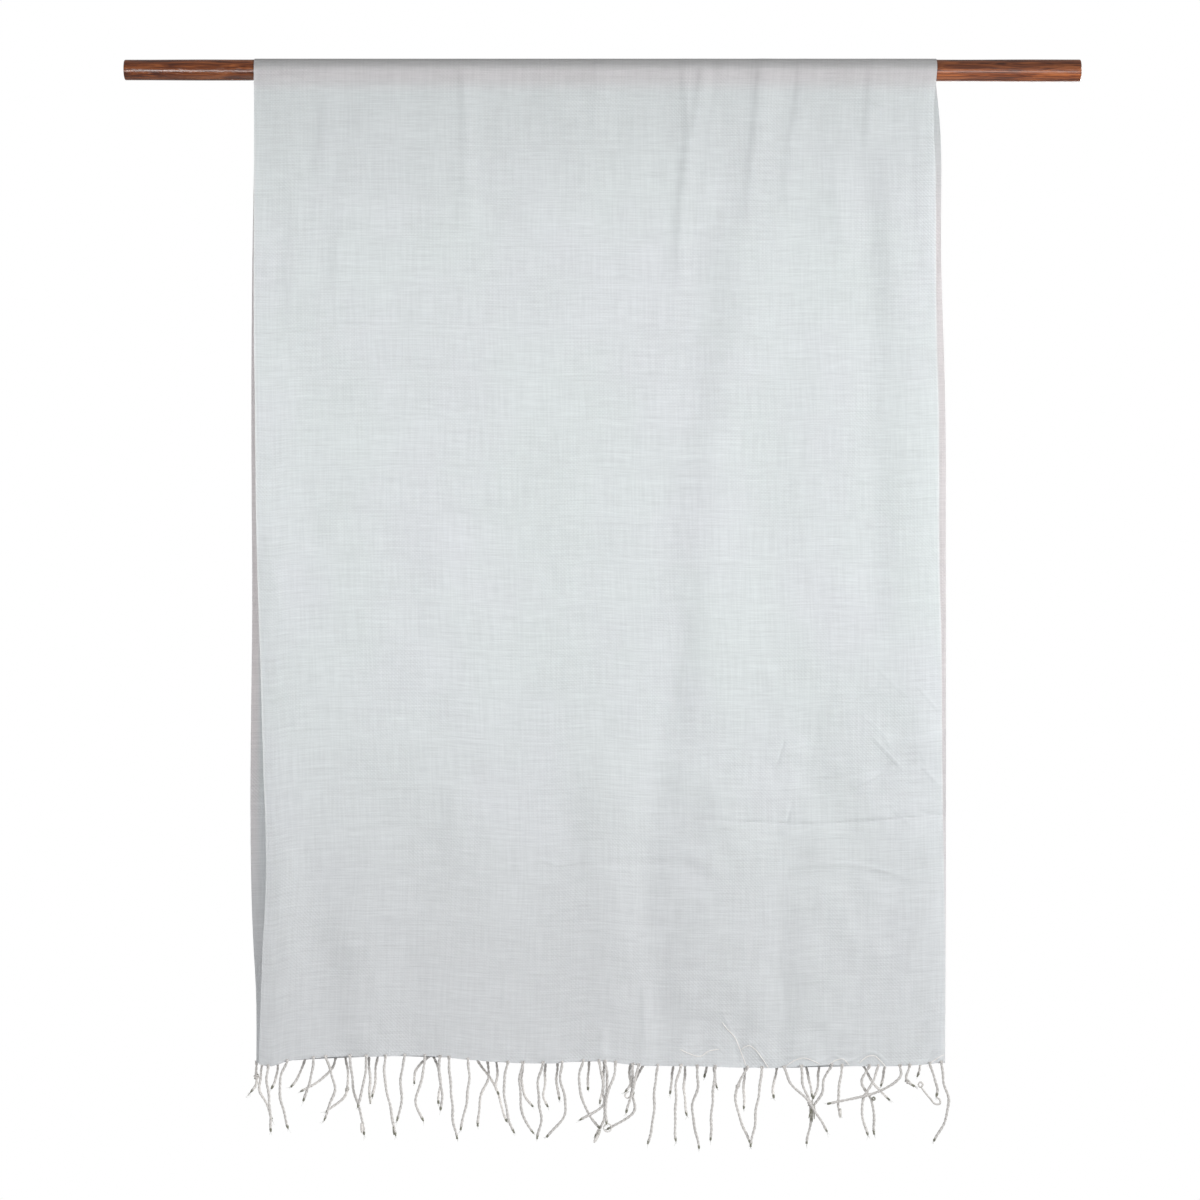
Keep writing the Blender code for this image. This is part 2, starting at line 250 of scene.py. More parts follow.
# Folds that gather at the rod, long soft folds, pressed lines and small wrinkles of the front fall
FRONT_CREASES = (
    *records(
        partial(Crease, Run.DOWN, Kind.SOFT),
        (((-277, -32), (-279, -62), (-286, -110)), 4, 14, 0.52),
        (((-290, -40), (-286, -75), (-296, -110)), 12, 12, -0.53),
        (((-307, -131), (-310, -191), (-313, -249)), 4, 14, 0.81),
        (((-312, -140), (-315, -195), (-318, -250)), 13, 13, -0.97),
        (((-265, -141), (-265, -216)), 4, 12, 0.77), (((-140, 0), (-137, -93), (-139, -159)), 4, 16, 0.69),
        (((-154, 0), (-164, -186)), 10, 20, 0.29), (((-101, -62), (-104, -139)), 4, 12, 0.16),
        (((-8, 0), (-7, -64)), 4, 10, 1.12), (((4, 0), (6, -110)), 4, 14, 0.32),
        (((82, 0), (85, -42), (85, -81), (79, -125), (76, -167), (75, -209)), 4, 11, 1.3),
        (((99, 0), (96, -27), (90, -66)), 4, 9, 1.22),
        (((120, 0), (115, -27), (105, -102), (99, -143)), 4, 9, 0.58),
        (((163, 0), (157, -42), (151, -87)), 11, 12, 0.65),
        (((157, 0), (152, -62), (147, -108), (144, -156)), 4, 14, 1.27),
        (((136, -160), (137, -240), (120, -340), (108, -440), (108, -530), (100, -640)), 24, 36, 3.7),
        (((198, 0), (194, -42), (186, -81), (183, -143)), 4, 12, 1.03),
        (((230, -117), (233, -167)), 4, 9, 0.83), (((267, 0), (264, -57), (263, -84)), 4, 12, 1.14),
        (((262, -90), (268, -325), (270, -560)), 16, 16, -2.01),
        (((280, -97), (286, -161), (297, -251), (300, -390), (300, -541), (298, -640)), 14, 24, 0.92),
        (((314, -42), (313, -183)), 4, 10, 0.5), (((318, -60), (314, -160), (318, -260)), 9, 9, -0.48),
        (((329, -32), (326, -158), (331, -217)), 4, 8, 0.42),
        (((80, -560), (68, -640), (57, -700), (46, -770), (48, -850), (61, -930), (66, -985)), 18, 18, -2.27),
        (((112, -690), (112, -810), (112, -930)), 45, 60, 4.32),
        (((10, -690), (10, -830), (16, -960)), 24, 26, 2),
        (((178, -800), (179, -870), (178, -985)), 12, 10, -1.25),
        (((212, -770), (218, -865), (214, -960)), 26, 30, 1.86),
        (((152, -857), (156, -927), (160, -982)), 10, 14, 0.43),
        (((209, -300), (209, -400), (208, -490)), 10, 16, 0.6),
        (((-290, -300), (-288, -430), (-290, -560)), 26, 34, -0.81),
        (((159, -776), (161, -852)), 10, 10, 0.56), (((40, -912), (42, -966)), 3, 5, 0.85),
        (((-295, -770), (-288, -850), (-274, -930), (-268, -985)), 22, 28, -2.16),
        (((-258, -847), (-249, -932), (-239, -978)), 10, 22, 1.06),
        (((-196, -870), (-190, -927), (-186, -985)), 22, 22, -1.42),
        (((-154, -708), (-144, -795)), 9, 20, 1.61),
        (((-110, -720), (-100, -840), (-96, -960)), 26, 26, 0.22),
        (((-34, -720), (-30, -760), (-30, -800)), 16, 16, -0.69), (((-16, -718), (-14, -793)), 9, 20, 0.85),
        (((0, -956), (0, -988)), 3, 6, 1.15), (((-172, -480), (-166, -635), (-158, -790)), 24, 24, -0.32),
        (((-166, -459), (-166, -557)), 12, 24, 1.13), (((-135, -519), (-136, -653)), 12, 24, 0.4),
        (((-346, -470), (-338, -740), (-344, -1010)), 11, 11, -2.2),
        (((120, -941), (130, -962), (138, -984)), 1.6, 1.6, 0.48),
    ),
    *records(
        partial(Crease, Run.ACROSS, Kind.CRISP),
        (((-346, -264), (-286, -259), (-223, -255)), 1.6, 1.6, 1.55),
        (((97, -747), (218, -751), (337, -742)), 2.2, 2.6, -1.75),
        (((268, -35), (296, -40)), 1.6, 1.6, 1.27), (((228, -640), (266, -618)), 1.8, 2.2, 1.01),
        (((288, -736), (307, -753)), 1.8, 2.2, 0.59), (((251, -714), (287, -697)), 1.8, 2.2, 1.73),
        (((-61, -787), (-44, -792), (-16, -787)), 2.2, 2.6, 1.15),
        (((316, -740), (341, -744)), 2.4, 2, -1.36),
    ),
    *records(
        partial(Crease, Run.ACROSS, Kind.SOFT),
        (((-262, -215), (-226, -210), (-152, -206), (-57, -209)), 4, 6, 0.7),
        (((-292, -494), (-231, -497), (-168, -494)), 5, 8, 0.6),
        (((-2, -491), (47, -495), (89, -493)), 5, 8, 0.6),
        (((176, -794), (251, -792), (301, -803)), 2.2, 2.8, 0.8), (((-2, -790), (89, -791)), 4, 4, -1.05),
        (((174, -710), (245, -704), (288, -693)), 1.8, 2.4, -0.55),
        (((-346, -12), (-283, -5), (-246, -1)), 3, 4, 0.9),
        (((139, -976), (147, -969), (161, -986)), 1.8, 1.8, 0.64),
        (((77, -973), (89, -979), (101, -974), (115, -973), (120, -978)), 1.6, 1.6, 0.4),
        (((182, -983), (201, -982), (215, -986)), 1.8, 1.8, 0.51),
        (((216, -988), (231, -982), (242, -988)), 1.8, 1.8, 0.6),
        (((242, -988), (254, -983), (264, -978), (274, -981), (282, -988)), 1.8, 1.8, 0.6),
        (((321, -988), (330, -978), (338, -976)), 1.8, 1.8, 0.6),
    ),
    *records(
        partial(Crease, Run.DOWN, Kind.CRISP),
        (((266, -589), (284, -608), (305, -627)), 2, 2.6, 0.42), (((313, -615), (332, -637)), 2, 2.6, 0.56),
        (((258, -644), (278, -661), (287, -680)), 2, 2.6, 0.46), (((268, -665), (297, -696)), 2, 2.6, 1.03),
        (((313, -673), (329, -711)), 2, 2.6, 0.29), (((316, -693), (333, -711)), 2, 2.6, 0.8),
        (((180, -670), (173, -693)), 1.8, 1.8, -1.27), (((188, -730), (182, -754)), 2.2, 2.2, -1.06),
    ),
)

# The back fall's creases, of the same kinds
BACK_CREASES = (
    *records(
        partial(Crease, Run.DOWN, Kind.SOFT),
        (((-144, 0), (-150, -95), (-152, -190)), 6, 13, 1.8),
        (((-58, 0), (-60, -70), (-66, -120)), 5, 11, 1.1), (((84, 0), (88, -120), (96, -240)), 7, 14, 2.2),
        (((158, 0), (166, -110), (176, -220)), 8, 16, 3), (((206, 0), (208, -60), (214, -130)), 5, 11, 1.4),
        (((266, 0), (262, -70), (254, -140)), 6, 12, 1.6),
        (((-250, -120), (-236, -320), (-246, -520)), 18, 28, -3.4),
        (((-90, -260), (-78, -450), (-92, -640)), 20, 30, -3.8),
        (((120, -300), (132, -500), (118, -700)), 20, 30, -4.6),
        (((236, -420), (228, -640), (240, -860)), 20, 28, 3.6),
        (((-170, -600), (-182, -795), (-170, -990)), 20, 28, -5),
        (((20, -640), (30, -820), (16, -1000)), 24, 32, 4.4),
        (((180, -760), (170, -880), (184, -1000)), 16, 24, -4.6),
        (((-300, -700), (-296, -850), (-304, -1000)), 18, 24, 3.4),
        (((-10, -60), (-14, -180), (-8, -290)), 9, 20, 1.2),
        (((300, -60), (304, -190), (298, -330)), 8, 14, 1.2),
        (((-322, -380), (-330, -620), (-324, -860)), 10, 14, -2.2),
        (((300, -560), (296, -760), (306, -985)), 10, 16, -2.4),
        (((-70, -860), (-66, -930), (-60, -1000)), 12, 20, -2),
        (((100, -880), (104, -940), (98, -1000)), 10, 18, 1.8),
        (((-226, -560), (-206, -590), (-190, -628)), 9, 11, 1.1),
        (((-262, -640), (-240, -668), (-226, -704)), 9, 11, 1.2),
        (((60, -560), (78, -600), (84, -640)), 9, 11, 1),
    ),
    *records(
        partial(Crease, Run.ACROSS, Kind.CRISP),
        (((-345, -248), (-240, -252), (-120, -250)), 8, 8, 0.8),
        (((-40, -498), (120, -502), (338, -496)), 9, 9, 0.9),
        (((-346, -748), (-200, -752), (20, -749)), 9, 9, 0.9),
    ),
)

FRONT_RUMPLES = records(Rumple, (38, 52, 0.42, 17, 11), (15, 21, 0.15, 40, 12))
BACK_RUMPLES = records(Rumple, (42, 60, 0.45, -21, 21), (22, 30, 0.12, 35, 22))
STREAKS = records(Rumple, (9, 130, 0.4, 1, 31), (17, 240, 0.55, -2, 32))
WRINKLES = records(Rumple, (30, 24, 1.4, 38, 41), (16, 12, 0.8, 52, 42))
HEM_RIPPLES = records(Rumple, (13, 26, 0.75, 8, 51), (7, 9, 0.22, -14, 52))

FRONT_STRANDS = records(
    Strand,
    (-332, -1.5, 1, 2, 3, 65, 0), (-313, -7, -7, -3.5, 1, 67, 0), (-287, -1, -3, -7, -10, 43, 0),
    (-275, 5.5, 9, 4, -2, 63, 0), (-251, 2, 5, 11.5, 14, 78, 0), (-234.5, -0.5, -2, -5.5, -8, 50, 1),
    (-215.5, -1, 2.5, 6.5, 10, 79, 0), (-196.5, -3, -3.6, -3, -8, 64, 1), (-176.5, -1.5, -6, -9, -1, 65, 0),
    (-161.5, -1.3, 1, 2, 1, 53, 0), (-152.5, 1, 3, 4, 8, 81, 0), (-133.5, 1, -0.5, -3.5, -8, 70, 0),
    (-94, -3.7, -3, 0, 6, 70, 0), (-79, -3.3, -2, 0, 11, 70, 0), (-59, -5, -4, -2, -6, 75, 0),
    (-40, -1.7, 3.3, 0.5, -16, 74, 0), (-19, -4.5, -2, 4, 16.5, 67, 0), (-3.5, 3, 4, 3.5, -19, 58, 1),
    (2.5, 2.5, 0, -1, -10, 76, -1), (13, -2.2, -8.5, -9.5, -9.5, 60, 2), (30, -0.7, 0, 0.5, -26, 64, 0),
    (36, -3, -6, -9, -13, 47, 1), (55, -3, -3.6, -5.5, -10, 78, 0), (78, -5, -5, -6, -5, 75, 0),
    (94, 0.5, -5, -2, 2, 82, 0), (112, -1.5, -3, -4, -4.5, 73, 0), (144, -10, -11, -5, 2.5, 75, 0),
    (158.5, -2.4, -5.7, -7.8, -12, 78, 1), (180.5, 7, 23, 33, 42, 62, 3), (197.5, 2, 9, 8.5, 5, 77, 0),
    (228, -8, -9, -18, -21, 54, -1), (238, -1.7, -3.2, -4, -1, 50, 0), (265, -7.5, 2.5, 4.5, 5, 68, 0),
    (274, -7, -16, -15.5, -11, 68, 1), (295.5, 0, -11, -32, -74, 37, 2), (305, -1.5, -3, -2, 5, 21, 0),
    (325, 2.6, 5.4, 8, 6, 33, 0), (336.5, 2.5, 7.3, 3, -7.5, 78, 0),
)
BACK_STRANDS = records(
    Strand,
    (-347.5, 0, 0, -1, -6, 30, 0), (-341.5, -2, -2.5, 4.5, 10, 57, 0), (-326, -0.5, -1.5, -3, -7, 28, 0),
    (-299, -2.5, -5, -9, -15, 28, 0), (-268, -2.5, -10, -20, -36, 34, 0), (-258, 2, 2.6, -2.3, -19, 54, 0),
    (-234.5, 0.5, 1, 1, 1, 45, 0), (-225.5, -2, -3, -3.5, -6, 42, 1), (-174.5, -8, -13, -13.5, -14, 27, 0),
    (-169, 4.7, 7, 5, 5, 47, 0), (-127, 10.5, 21, 25, 31, 65, 2), (-116, 2, -5, -8, -9, 68, 0),
    (-107, 1.4, 1, 0, 3, 35, -1), (-80, -0.7, -0.5, 1.5, 11, 46, 0), (-57, -0.5, -1, -2, 2, 45, 0),
    (-45, -0.5, -1, 0, 2, 38, 0), (-13.5, -0.3, -0.7, -1, -1.5, 29, 0), (1.5, 0, -0.7, -2, -4, 43, 0),
    (28.5, -1, -1, -1, -6, 31, 0), (42.5, -3, -6, -9, -13, 24, 1), (71.5, -1, -2, -3, -3.5, 30, 0),
    (83, -0.5, -1, 0, 2, 51, 0), (105, -0.5, -1, -2, -3, 12, 0), (111.5, 0.7, 1.5, 2.5, 4, 23, 0),
    (143, -0.5, -1, -1, -1, 43, 0), (175, -1.3, -2.7, -4.3, -3.5, 31, 0), (204.5, 2, 3.3, 4.7, 6, 30, 0),
    (217.5, -0.6, -1.2, -2.2, -6, 33, 1), (262, 5, 10, 17.5, 27, 35, 0), (284, -1, -2, -3, -4, 22, 1),
    (319, -0.5, -1, -2, -3, 13, 0),
)
FRONT_KNOTS = records(Knot, (197.5, 38, 6), (305, 17, 5.6), (144, 21, 5), (30, 28, 5))
BACK_KNOTS = records(Knot, (-347.5, 14, 6.4), (-258, 32, 5))
FRONT_TUFTS = records(Tuft, (305, 6, 5), (30, 5, 4))
BACK_TUFTS = records(Tuft, (204.5, 17, 16), (217.5, 13, 8), (-347.5, 9, 8))
FRONT_LOOPS = records(
    Loop,
    (((118.8, -948), (123, -954), (130.5, -962), (137.5, -978), (142.7, -992)), 0.8, 0.35, -1.0, 0.0),
    (
        ((138, -976), (141, -973), (145, -971.5), (151.3, -975),
         (157.5, -982.7), (165, -994)),
        0.8, 0.35, -1.0, 0.0,
    ),
    (((77, -975), (85, -979), (97.5, -982), (105.5, -977), (115.5, -975)), 0.8, 0.35, -1.0, 0.0),
    (((182, -992), (191, -986), (200, -983.6), (208, -986), (216, -990)), 0.75, 0.35, -1.0, 0.0),
    (((224, -991), (232, -986), (238, -984.6), (245, -991)), 0.75, 0.35, -1.0, 0.0),
    (
        ((255, -989), (259, -985), (264, -982), (270, -981.7),
         (276, -986.7), (282.5, -994)),
        0.8, 0.35, -1.0, 0.0,
    ),
    (((322, -992), (330, -985.5), (336, -981.7), (339.5, -980.5)), 0.8, 0.35, -1.0, 0.0),
    (
        ((331.2, -1022), (335, -1025.5), (335, -1029), (331, -1029.4),
         (324.5, -1023), (316.5, -1013)),
        1.9, 0.9, 0.2, 0.1,
    ),
    (((313, -1010), (315.5, -1007.5), (318, -1010), (315.5, -1012.5), (313, -1010)), 1.9, 1.6, 0.4, 0.45),
    (((267.5, -1024), (269, -1025.5), (270.5, -1024), (269, -1022.5), (267.5, -1024)), 2.0, 1.6, 0.5, 0.7),
    (
        ((26.5, -1016.5), (23.8, -1018), (22.3, -1021), (24.5, -1023.3),
         (27.6, -1021), (27.8, -1017)),
        1.5, 1.7, 0.5, 0.25,
    ),
    (
        ((9.1, -1052.5), (7.9, -1049.7), (5.1, -1048.5), (2.3, -1049.7), (1.1, -1052.5),
         (2.3, -1055.3), (5.1, -1056.5), (7.9, -1055.3), (9.1, -1052.5)),
        1.4, 2.4, 0.4, 0.1,
    ),
    (((-2.5, -1055), (-5, -1061), (-8.5, -1067.5)), 3.2, 0.9, 0.6, 0.5),
    (((236.3, -1034), (235.7, -1038), (236.2, -1043)), 3.2, 0.9, 0.6, 0.6),
    (((-239.4, -1048), (-239, -1052), (-238.8, -1058)), 2.9, 0.9, 0.6, 0.35),
    (((-207.2, -1050), (-207, -1054), (-206.8, -1060)), 2.9, 0.9, 0.6, 0.45),
    (((-231.5, -1018), (-230.6, -1023), (-230.2, -1029)), 2.7, 0.9, 0.6, 0.3),
    (((209, -1029), (206.5, -1036), (204.6, -1043)), 1.4, 1.9, 0.6, 0.7),
    (((208, -1030), (206.8, -1038), (206.4, -1046)), 1.3, 2.2, 0.6, 0.6),
    (((208.6, -1029), (208.4, -1037), (208, -1047)), 1.5, 1.6, 0.6, 0.8),
    (((208.2, -1030), (209.8, -1037), (210, -1044)), 1.3, 2.1, 0.6, 0.55),
    (((209.2, -1029), (211, -1035), (212.2, -1040)), 1.3, 1.5, 0.6, 0.75),
)

# Where the cloth's columns and rows lie, in metres: the first, the last and the count of each band
COLUMN_BANDS = (
    (0.0, 0.0015, 2), (0.004, 0.008, 2), (0.013, 0.013, 1), (0.019, 0.36, 57),
    (0.3652, 0.674, 64), (0.6765, 0.6785, 2), (0.68, 0.68, 1),
)
FRONT_ROW_BANDS = (
    (0.0035, 0.06, 15), (0.0645, 0.30, 42), (0.307, 0.56, 36),
    (0.5645, 0.945, 70), (0.9475, 0.988, 14), (0.9895, 0.99, 2),
)
BACK_ROW_BANDS = ((0.006, 0.12, 12), (0.134, 0.96, 46), (0.968, 0.996, 5), (0.998, 0.998, 1))


def column(rows: tuple, name: str) -> np.ndarray:
    """One column of a table in millimetres, as metres."""
    return np.array([getattr(row, name) for row in rows], float) * MM


def smooth_step(t: np.ndarray | float) -> np.ndarray:
    """0 below 0, 1 above 1, and a soft S between."""
    t = np.clip(t, 0.0, 1.0)
    return t * t * (3.0 - 2.0 * t)


def smooth_line(at: np.ndarray, places: np.ndarray, values: np.ndarray) -> np.ndarray:
    """Reads a smooth curve through points in one direction.

    Args:
        at: Where the curve is read. Beyond the ends it keeps the end's value.
        places: The points' places, rising.
        values: The curve's value at each place.

    Returns:
        The curve's value at each place of at.
    """
    slopes = np.gradient(values, places)
    at = np.clip(at, places[0], places[-1])
    i = np.clip(np.searchsorted(places, at, side="right") - 1, 0, len(places) - 2)
    span = places[i + 1] - places[i]
    t = (at - places[i]) / span
    return (
        values[i] * (1 + 2 * t) * (1 - t) ** 2
        + slopes[i] * span * t * (1 - t) ** 2
        + values[i + 1] * t * t * (3 - 2 * t)
        - slopes[i + 1] * span * t * t * (1 - t)
    )


def lattice_noise(across: np.ndarray, down: np.ndarray, rumple: Rumple) -> np.ndarray:
    """Seeded smooth unevenness over the cloth.

    Args:
        across: Distance across the cloth at each point, in metres.
        down: Distance down the cloth at each point, in metres.
        rumple: The layer's cell sizes, height, turn and seed.

    Returns:
        The height of the layer at each point, in metres.
    """
    table = np.random.default_rng(rumple.seed).uniform(-1.0, 1.0, (NOISE_TABLE, NOISE_TABLE))
    turn = math.radians(rumple.turn)
    a = (across * math.cos(turn) + down * math.sin(turn)) / (rumple.across * MM) + NOISE_TABLE
    b = (down * math.cos(turn) - across * math.sin(turn)) / (rumple.down * MM) + NOISE_TABLE
    i, j = np.floor(a).astype(int), np.floor(b).astype(int)
    p, q = smooth_step(a - i), smooth_step(b - j)
    i, j = i % NOISE_TABLE, j % NOISE_TABLE
    i_next, j_next = (i + 1) % NOISE_TABLE, (j + 1) % NOISE_TABLE
    near = table[i, j] * (1 - p) + table[i_next, j] * p
    far = table[i, j_next] * (1 - p) + table[i_next, j_next] * p
    return (near * (1 - q) + far * q) * rumple.height * MM


def rumpled(across: np.ndarray, down: np.ndarray, rumples: tuple[Rumple, ...]) -> np.ndarray:
    """The sum of several layers of unevenness, in metres."""
    return sum(lattice_noise(across, down, rumple) for rumple in rumples)


def banded(bands: Bands) -> np.ndarray:
    """The places in some bands, as shares of the very last one."""
    places = np.concatenate([np.linspace(*band) for band in bands])
    return places / places[-1]


def run_along(path: np.ndarray) -> np.ndarray:
    """How far along a path each of its points lies."""
    return np.concatenate([[0.0], np.cumsum(np.linalg.norm(np.diff(path, axis=0), axis=1))])


def read_path(places: np.ndarray, run: np.ndarray, path: np.ndarray) -> np.ndarray:
    """The points of a path at some distances along it."""
    return np.stack([np.interp(places, run, path[:, k]) for k in range(3)], axis=1)


def sides_along(path: np.ndarray) -> tuple[np.ndarray, np.ndarray]:
    """Two directions, square to a path and to each other, at each of its points.

    Args:
        path: The path's points.

    Returns:
        The two directions at each point, as unit vectors.
    """
    ahead = np.gradient(path, axis=0)
    ahead /= np.linalg.norm(ahead, axis=1, keepdims=True)
    across = np.cross(ahead, [0.0, 1.0, 0.0])
    across /= np.linalg.norm(across, axis=1, keepdims=True)
    return across, np.cross(across, ahead)


def deselect() -> None:
    """Leaves nothing selected, so that an operator acts only on what is picked next."""
    for thing in bpy.context.view_layer.objects:
        thing.select_set(False)


def make_active(piece: Piece) -> None:
    """Selects one object alone and makes it active.

    Args:
        piece: The object.
    """
    deselect()
    piece.select_set(True)
    bpy.context.view_layer.objects.active = piece


def apply_modifiers(piece: Piece) -> None:
    """Applies every modifier on an object, in order.

    Args:
        piece: The object.
    """
    make_active(piece)
    for modifier in list(piece.modifiers):
        bpy.ops.object.modifier_apply(modifier=modifier.name)


def mesh_object(name: str, points: np.ndarray, faces: list[tuple[int, ...]]) -> Piece:
    """Makes a mesh object that is shaded smooth.

    Args:
        name: The piece's name.
        points: Its points, in metres.
        faces: The point numbers of each face.

    Returns:
        The new object, linked to the scene.
    """
    mesh = bpy.data.meshes.new(name)
    mesh.from_pydata(points.tolist(), [], faces)
    mesh.validate()
    mesh.shade_smooth()
    piece = bpy.data.objects.new(name, mesh)
    bpy.context.scene.collection.objects.link(piece)
    return piece


def read_points(piece: Piece) -> np.ndarray:
    """A piece's points, by three, in metres.

    Args:
        piece: The piece.

    Returns:
        Its points, in the order that its mesh keeps them.
    """
    flat = np.empty(3 * len(piece.data.vertices))
    piece.data.vertices.foreach_get("co", flat)
    return flat.reshape(-1, 3)


def write_points(piece: Piece, points: np.ndarray) -> None:
    """Moves a piece's points."""
    piece.data.vertices.foreach_set("co", points.ravel())
    piece.data.update()


def give_uv(piece: Piece, places: np.ndarray) -> None:
    """Gives a piece its UV map from each point's place on it, in metres.

    Args:
        piece: The piece.
        places: Each point's place across and along.
    """
    corners = np.empty(len(piece.data.loops), np.int32)
    piece.data.loops.foreach_get("vertex_index", corners)
    layer = piece.data.uv_layers.new(name="UVMap")
    layer.data.foreach_set("uv", places[corners].astype(np.float32).ravel())


@dataclass(frozen=True)
class Grain:
    """One layer of noise: its cells to the metre along each axis, its detail, roughness and distortion, and
    the degrees that it is turned by."""

    cells: tuple[float, float, float]
    detail: float = 2.0
    roughness: float = 0.5
    distortion: float = 0.0
    turn: float = 0.0


class Graph:
    """A material's node tree, with short calls for the nodes that the finishes use."""

    def __init__(self, name: str) -> None:
        """Starts a material with only its Principled shader and output.

        Args:
            name: The material's name.
        """
        self.material = bpy.data.materials.new(name)
        self.material.use_nodes = True
        self.nodes = self.material.node_tree.nodes
        self.links = self.material.node_tree.links
        self.shader = self.nodes["Principled BSDF"]

    def plug(self, socket: Socket, value: object) -> None:
        """Links a socket to an output, or sets it where the value is plain, with the alpha of a colour.

        Args:
            socket: The socket.
            value: An output, a number, a vector or a colour.
        """
        if isinstance(value, Socket):
            self.links.new(value, socket)
        else:
            socket.default_value = (*value, 1.0) if socket.type == "RGBA" else value

    def node(self, kind: str, values: dict[str, object]) -> bpy.types.Node:
        """Adds a node and plugs each value into its input of that name.

        Args:
            kind: Blender's name for the node.
            values: What goes into each named input.

        Returns:
            The node.
        """
        node = self.nodes.new(kind)
        for name, value in values.items():
            self.plug(node.inputs[name], value)
        return node

    def uv(self) -> Socket:
        """The piece's own UV map."""
        return self.nodes.new("ShaderNodeUVMap").outputs["UV"]

    def place(self) -> Socket:
        """Object coordinates."""
        return self.nodes.new("ShaderNodeTexCoord").outputs["Object"]

    def attribute(self, name: str) -> Socket:
        """A number kept with each point of the piece.

        Args:
            name: The attribute's name.

        Returns:
            The number.
        """
        node = self.nodes.new("ShaderNodeAttribute")
        node.attribute_name = name
        return node.outputs["Fac"]

    def parts(self, vector: Socket) -> tuple[Socket, ...]:
        """The x, y and z of a vector."""
        return tuple(self.node("ShaderNodeSeparateXYZ", {"Vector": vector}).outputs)

    def noise(self, vector: Socket, grain: Grain) -> Socket:
        """Noise from 0 to 1, laid over a vector in the grain's cells.

        Args:
            vector: The place to read it at.
            grain: The noise's cells and character.

        Returns:
            The noise.
        """
        turn = (0.0, 0.0, math.radians(grain.turn))
        cells = self.node("ShaderNodeMapping", {"Vector": vector, "Scale": grain.cells, "Rotation": turn})
        values = {
            "Vector": cells.outputs["Vector"],
            "Scale": 1.0,
            "Detail": grain.detail,
            "Roughness": grain.roughness,
            "Distortion": grain.distortion,
        }
        return self.node("ShaderNodeTexNoise", values).outputs["Fac"]

    def calc(self, operation: str, *values: object) -> Socket:
        """One step of arithmetic.

        Args:
            operation: Blender's name for the step.
            *values: The numbers or outputs that it takes.

        Returns:
            The outcome.
        """
        node = self.nodes.new("ShaderNodeMath")
        node.operation = operation
        for socket, value in zip(node.inputs, values):
            self.plug(socket, value)
        return node.outputs[0]

    def distance(self, first: Socket, second: Socket) -> Socket:
        """How far from 0 two coordinates lie together."""
        squares = [self.calc("MULTIPLY", side, side) for side in (first, second)]
        return self.calc("SQRT", self.calc("ADD", *squares))

    def span(
        self, value: object, low: float, high: float, to_low: float = 0.0, to_high: object = 1.0
    ) -> Socket:
        """A value carried from one range to another, and held inside it.

        Args:
            value: The value.
            low: Where the first range starts.
            high: Where it ends.
            to_low: What its start becomes.
            to_high: What its end becomes.

        Returns:
            The carried value.
        """
        node = self.nodes.new("ShaderNodeMapRange")
        node.interpolation_type = "SMOOTHSTEP"
        for socket, item in zip(node.inputs, (value, low, high, to_low, to_high)):
            self.plug(socket, item)
        return node.outputs["Result"]

    def fade(self, value: object, full: float, gone: float) -> Socket:
        """1 up to where the value is full, falling to 0 where it is gone."""
        return self.span(value, full, gone, 1.0, 0.0)

    def swing(self, value: Socket, low: float, size: float) -> Socket:
        """Noise from low to 1 - low, carried to a swing of so much on either side of 0."""
        return self.span(value, low, 1.0 - low, -size, size)

    def ramp(self, value: Socket, stops: tuple[tuple[float, Colour], ...]) -> Socket:
        """Colours along a value.

        Args:
            value: Where to read, from 0 to 1.
            stops: Each stop's place and colour.

        Returns:
            The colour there.
        """
        node = self.node("ShaderNodeValToRGB", {"Fac": value})
        marks = node.color_ramp.elements
        while len(marks) < len(stops):
            marks.new(0.5)
        for mark, (place, colour) in zip(marks, stops):
            mark.position = place
            mark.color = (*colour, 1.0)
        return node.outputs["Color"]

    def mix(self, share: Socket, first: object, second: object) -> Socket:
        """Two colours mixed by a share.

        Args:
            share: The share of the second colour.
            first: The first colour.
            second: The second.

        Returns:
            The mixed colour.
        """
        node = self.nodes.new("ShaderNodeMix")
        node.data_type = "RGBA"
        colours = [socket for socket in node.inputs if socket.type == "RGBA"]
        for socket, value in zip((node.inputs[0], *colours), (share, first, second)):
            self.plug(socket, value)
        return next(socket for socket in node.outputs if socket.type == "RGBA")

    def shade(self, colour: object, amount: Socket) -> Socket:
        """A colour made lighter or darker by a number near 1.

        Args:
            colour: The colour.
            amount: The number.

        Returns:
            The colour times the number.
        """
        node = self.nodes.new("ShaderNodeVectorMath")
        node.operation = "SCALE"
        self.plug(node.inputs[0], colour)
        self.plug(node.inputs["Scale"], amount)
        return node.outputs["Vector"]

    def bump(self, height: Socket, distance: float, strength: float, normal: Socket | None = None) -> Socket:
        """A bumped normal from a height between 0 and 1 and what that 1 is in metres.

        Args:
            height: The height.
            distance: How high a height of 1 is.
            strength: How much of it shows.
            normal: The normal that it is laid on, if not the plain surface.

        Returns:
            The bumped normal.
        """
        values = {"Height": height, "Distance": distance, "Strength": strength}
        if normal is not None:
            values["Normal"] = normal
        return self.node("ShaderNodeBump", values).outputs["Normal"]

    def let_through(self, share: float, colour: Socket, normal: Socket) -> None:
        """Lets a share of the light pass through the material, tinted by its colour.

        Args:
            share: The share of the light.
            colour: The colour.
            normal: The surface's normal.
        """
        through = self.node("ShaderNodeBsdfTranslucent", {"Color": colour, "Normal": normal})
        both = self.nodes.new("ShaderNodeMixShader")
        both.inputs[0].default_value = share
        self.links.new(self.shader.outputs["BSDF"], both.inputs[1])
        self.links.new(through.outputs["BSDF"], both.inputs[2])
        self.links.new(both.outputs["Shader"], self.nodes["Material Output"].inputs["Surface"])

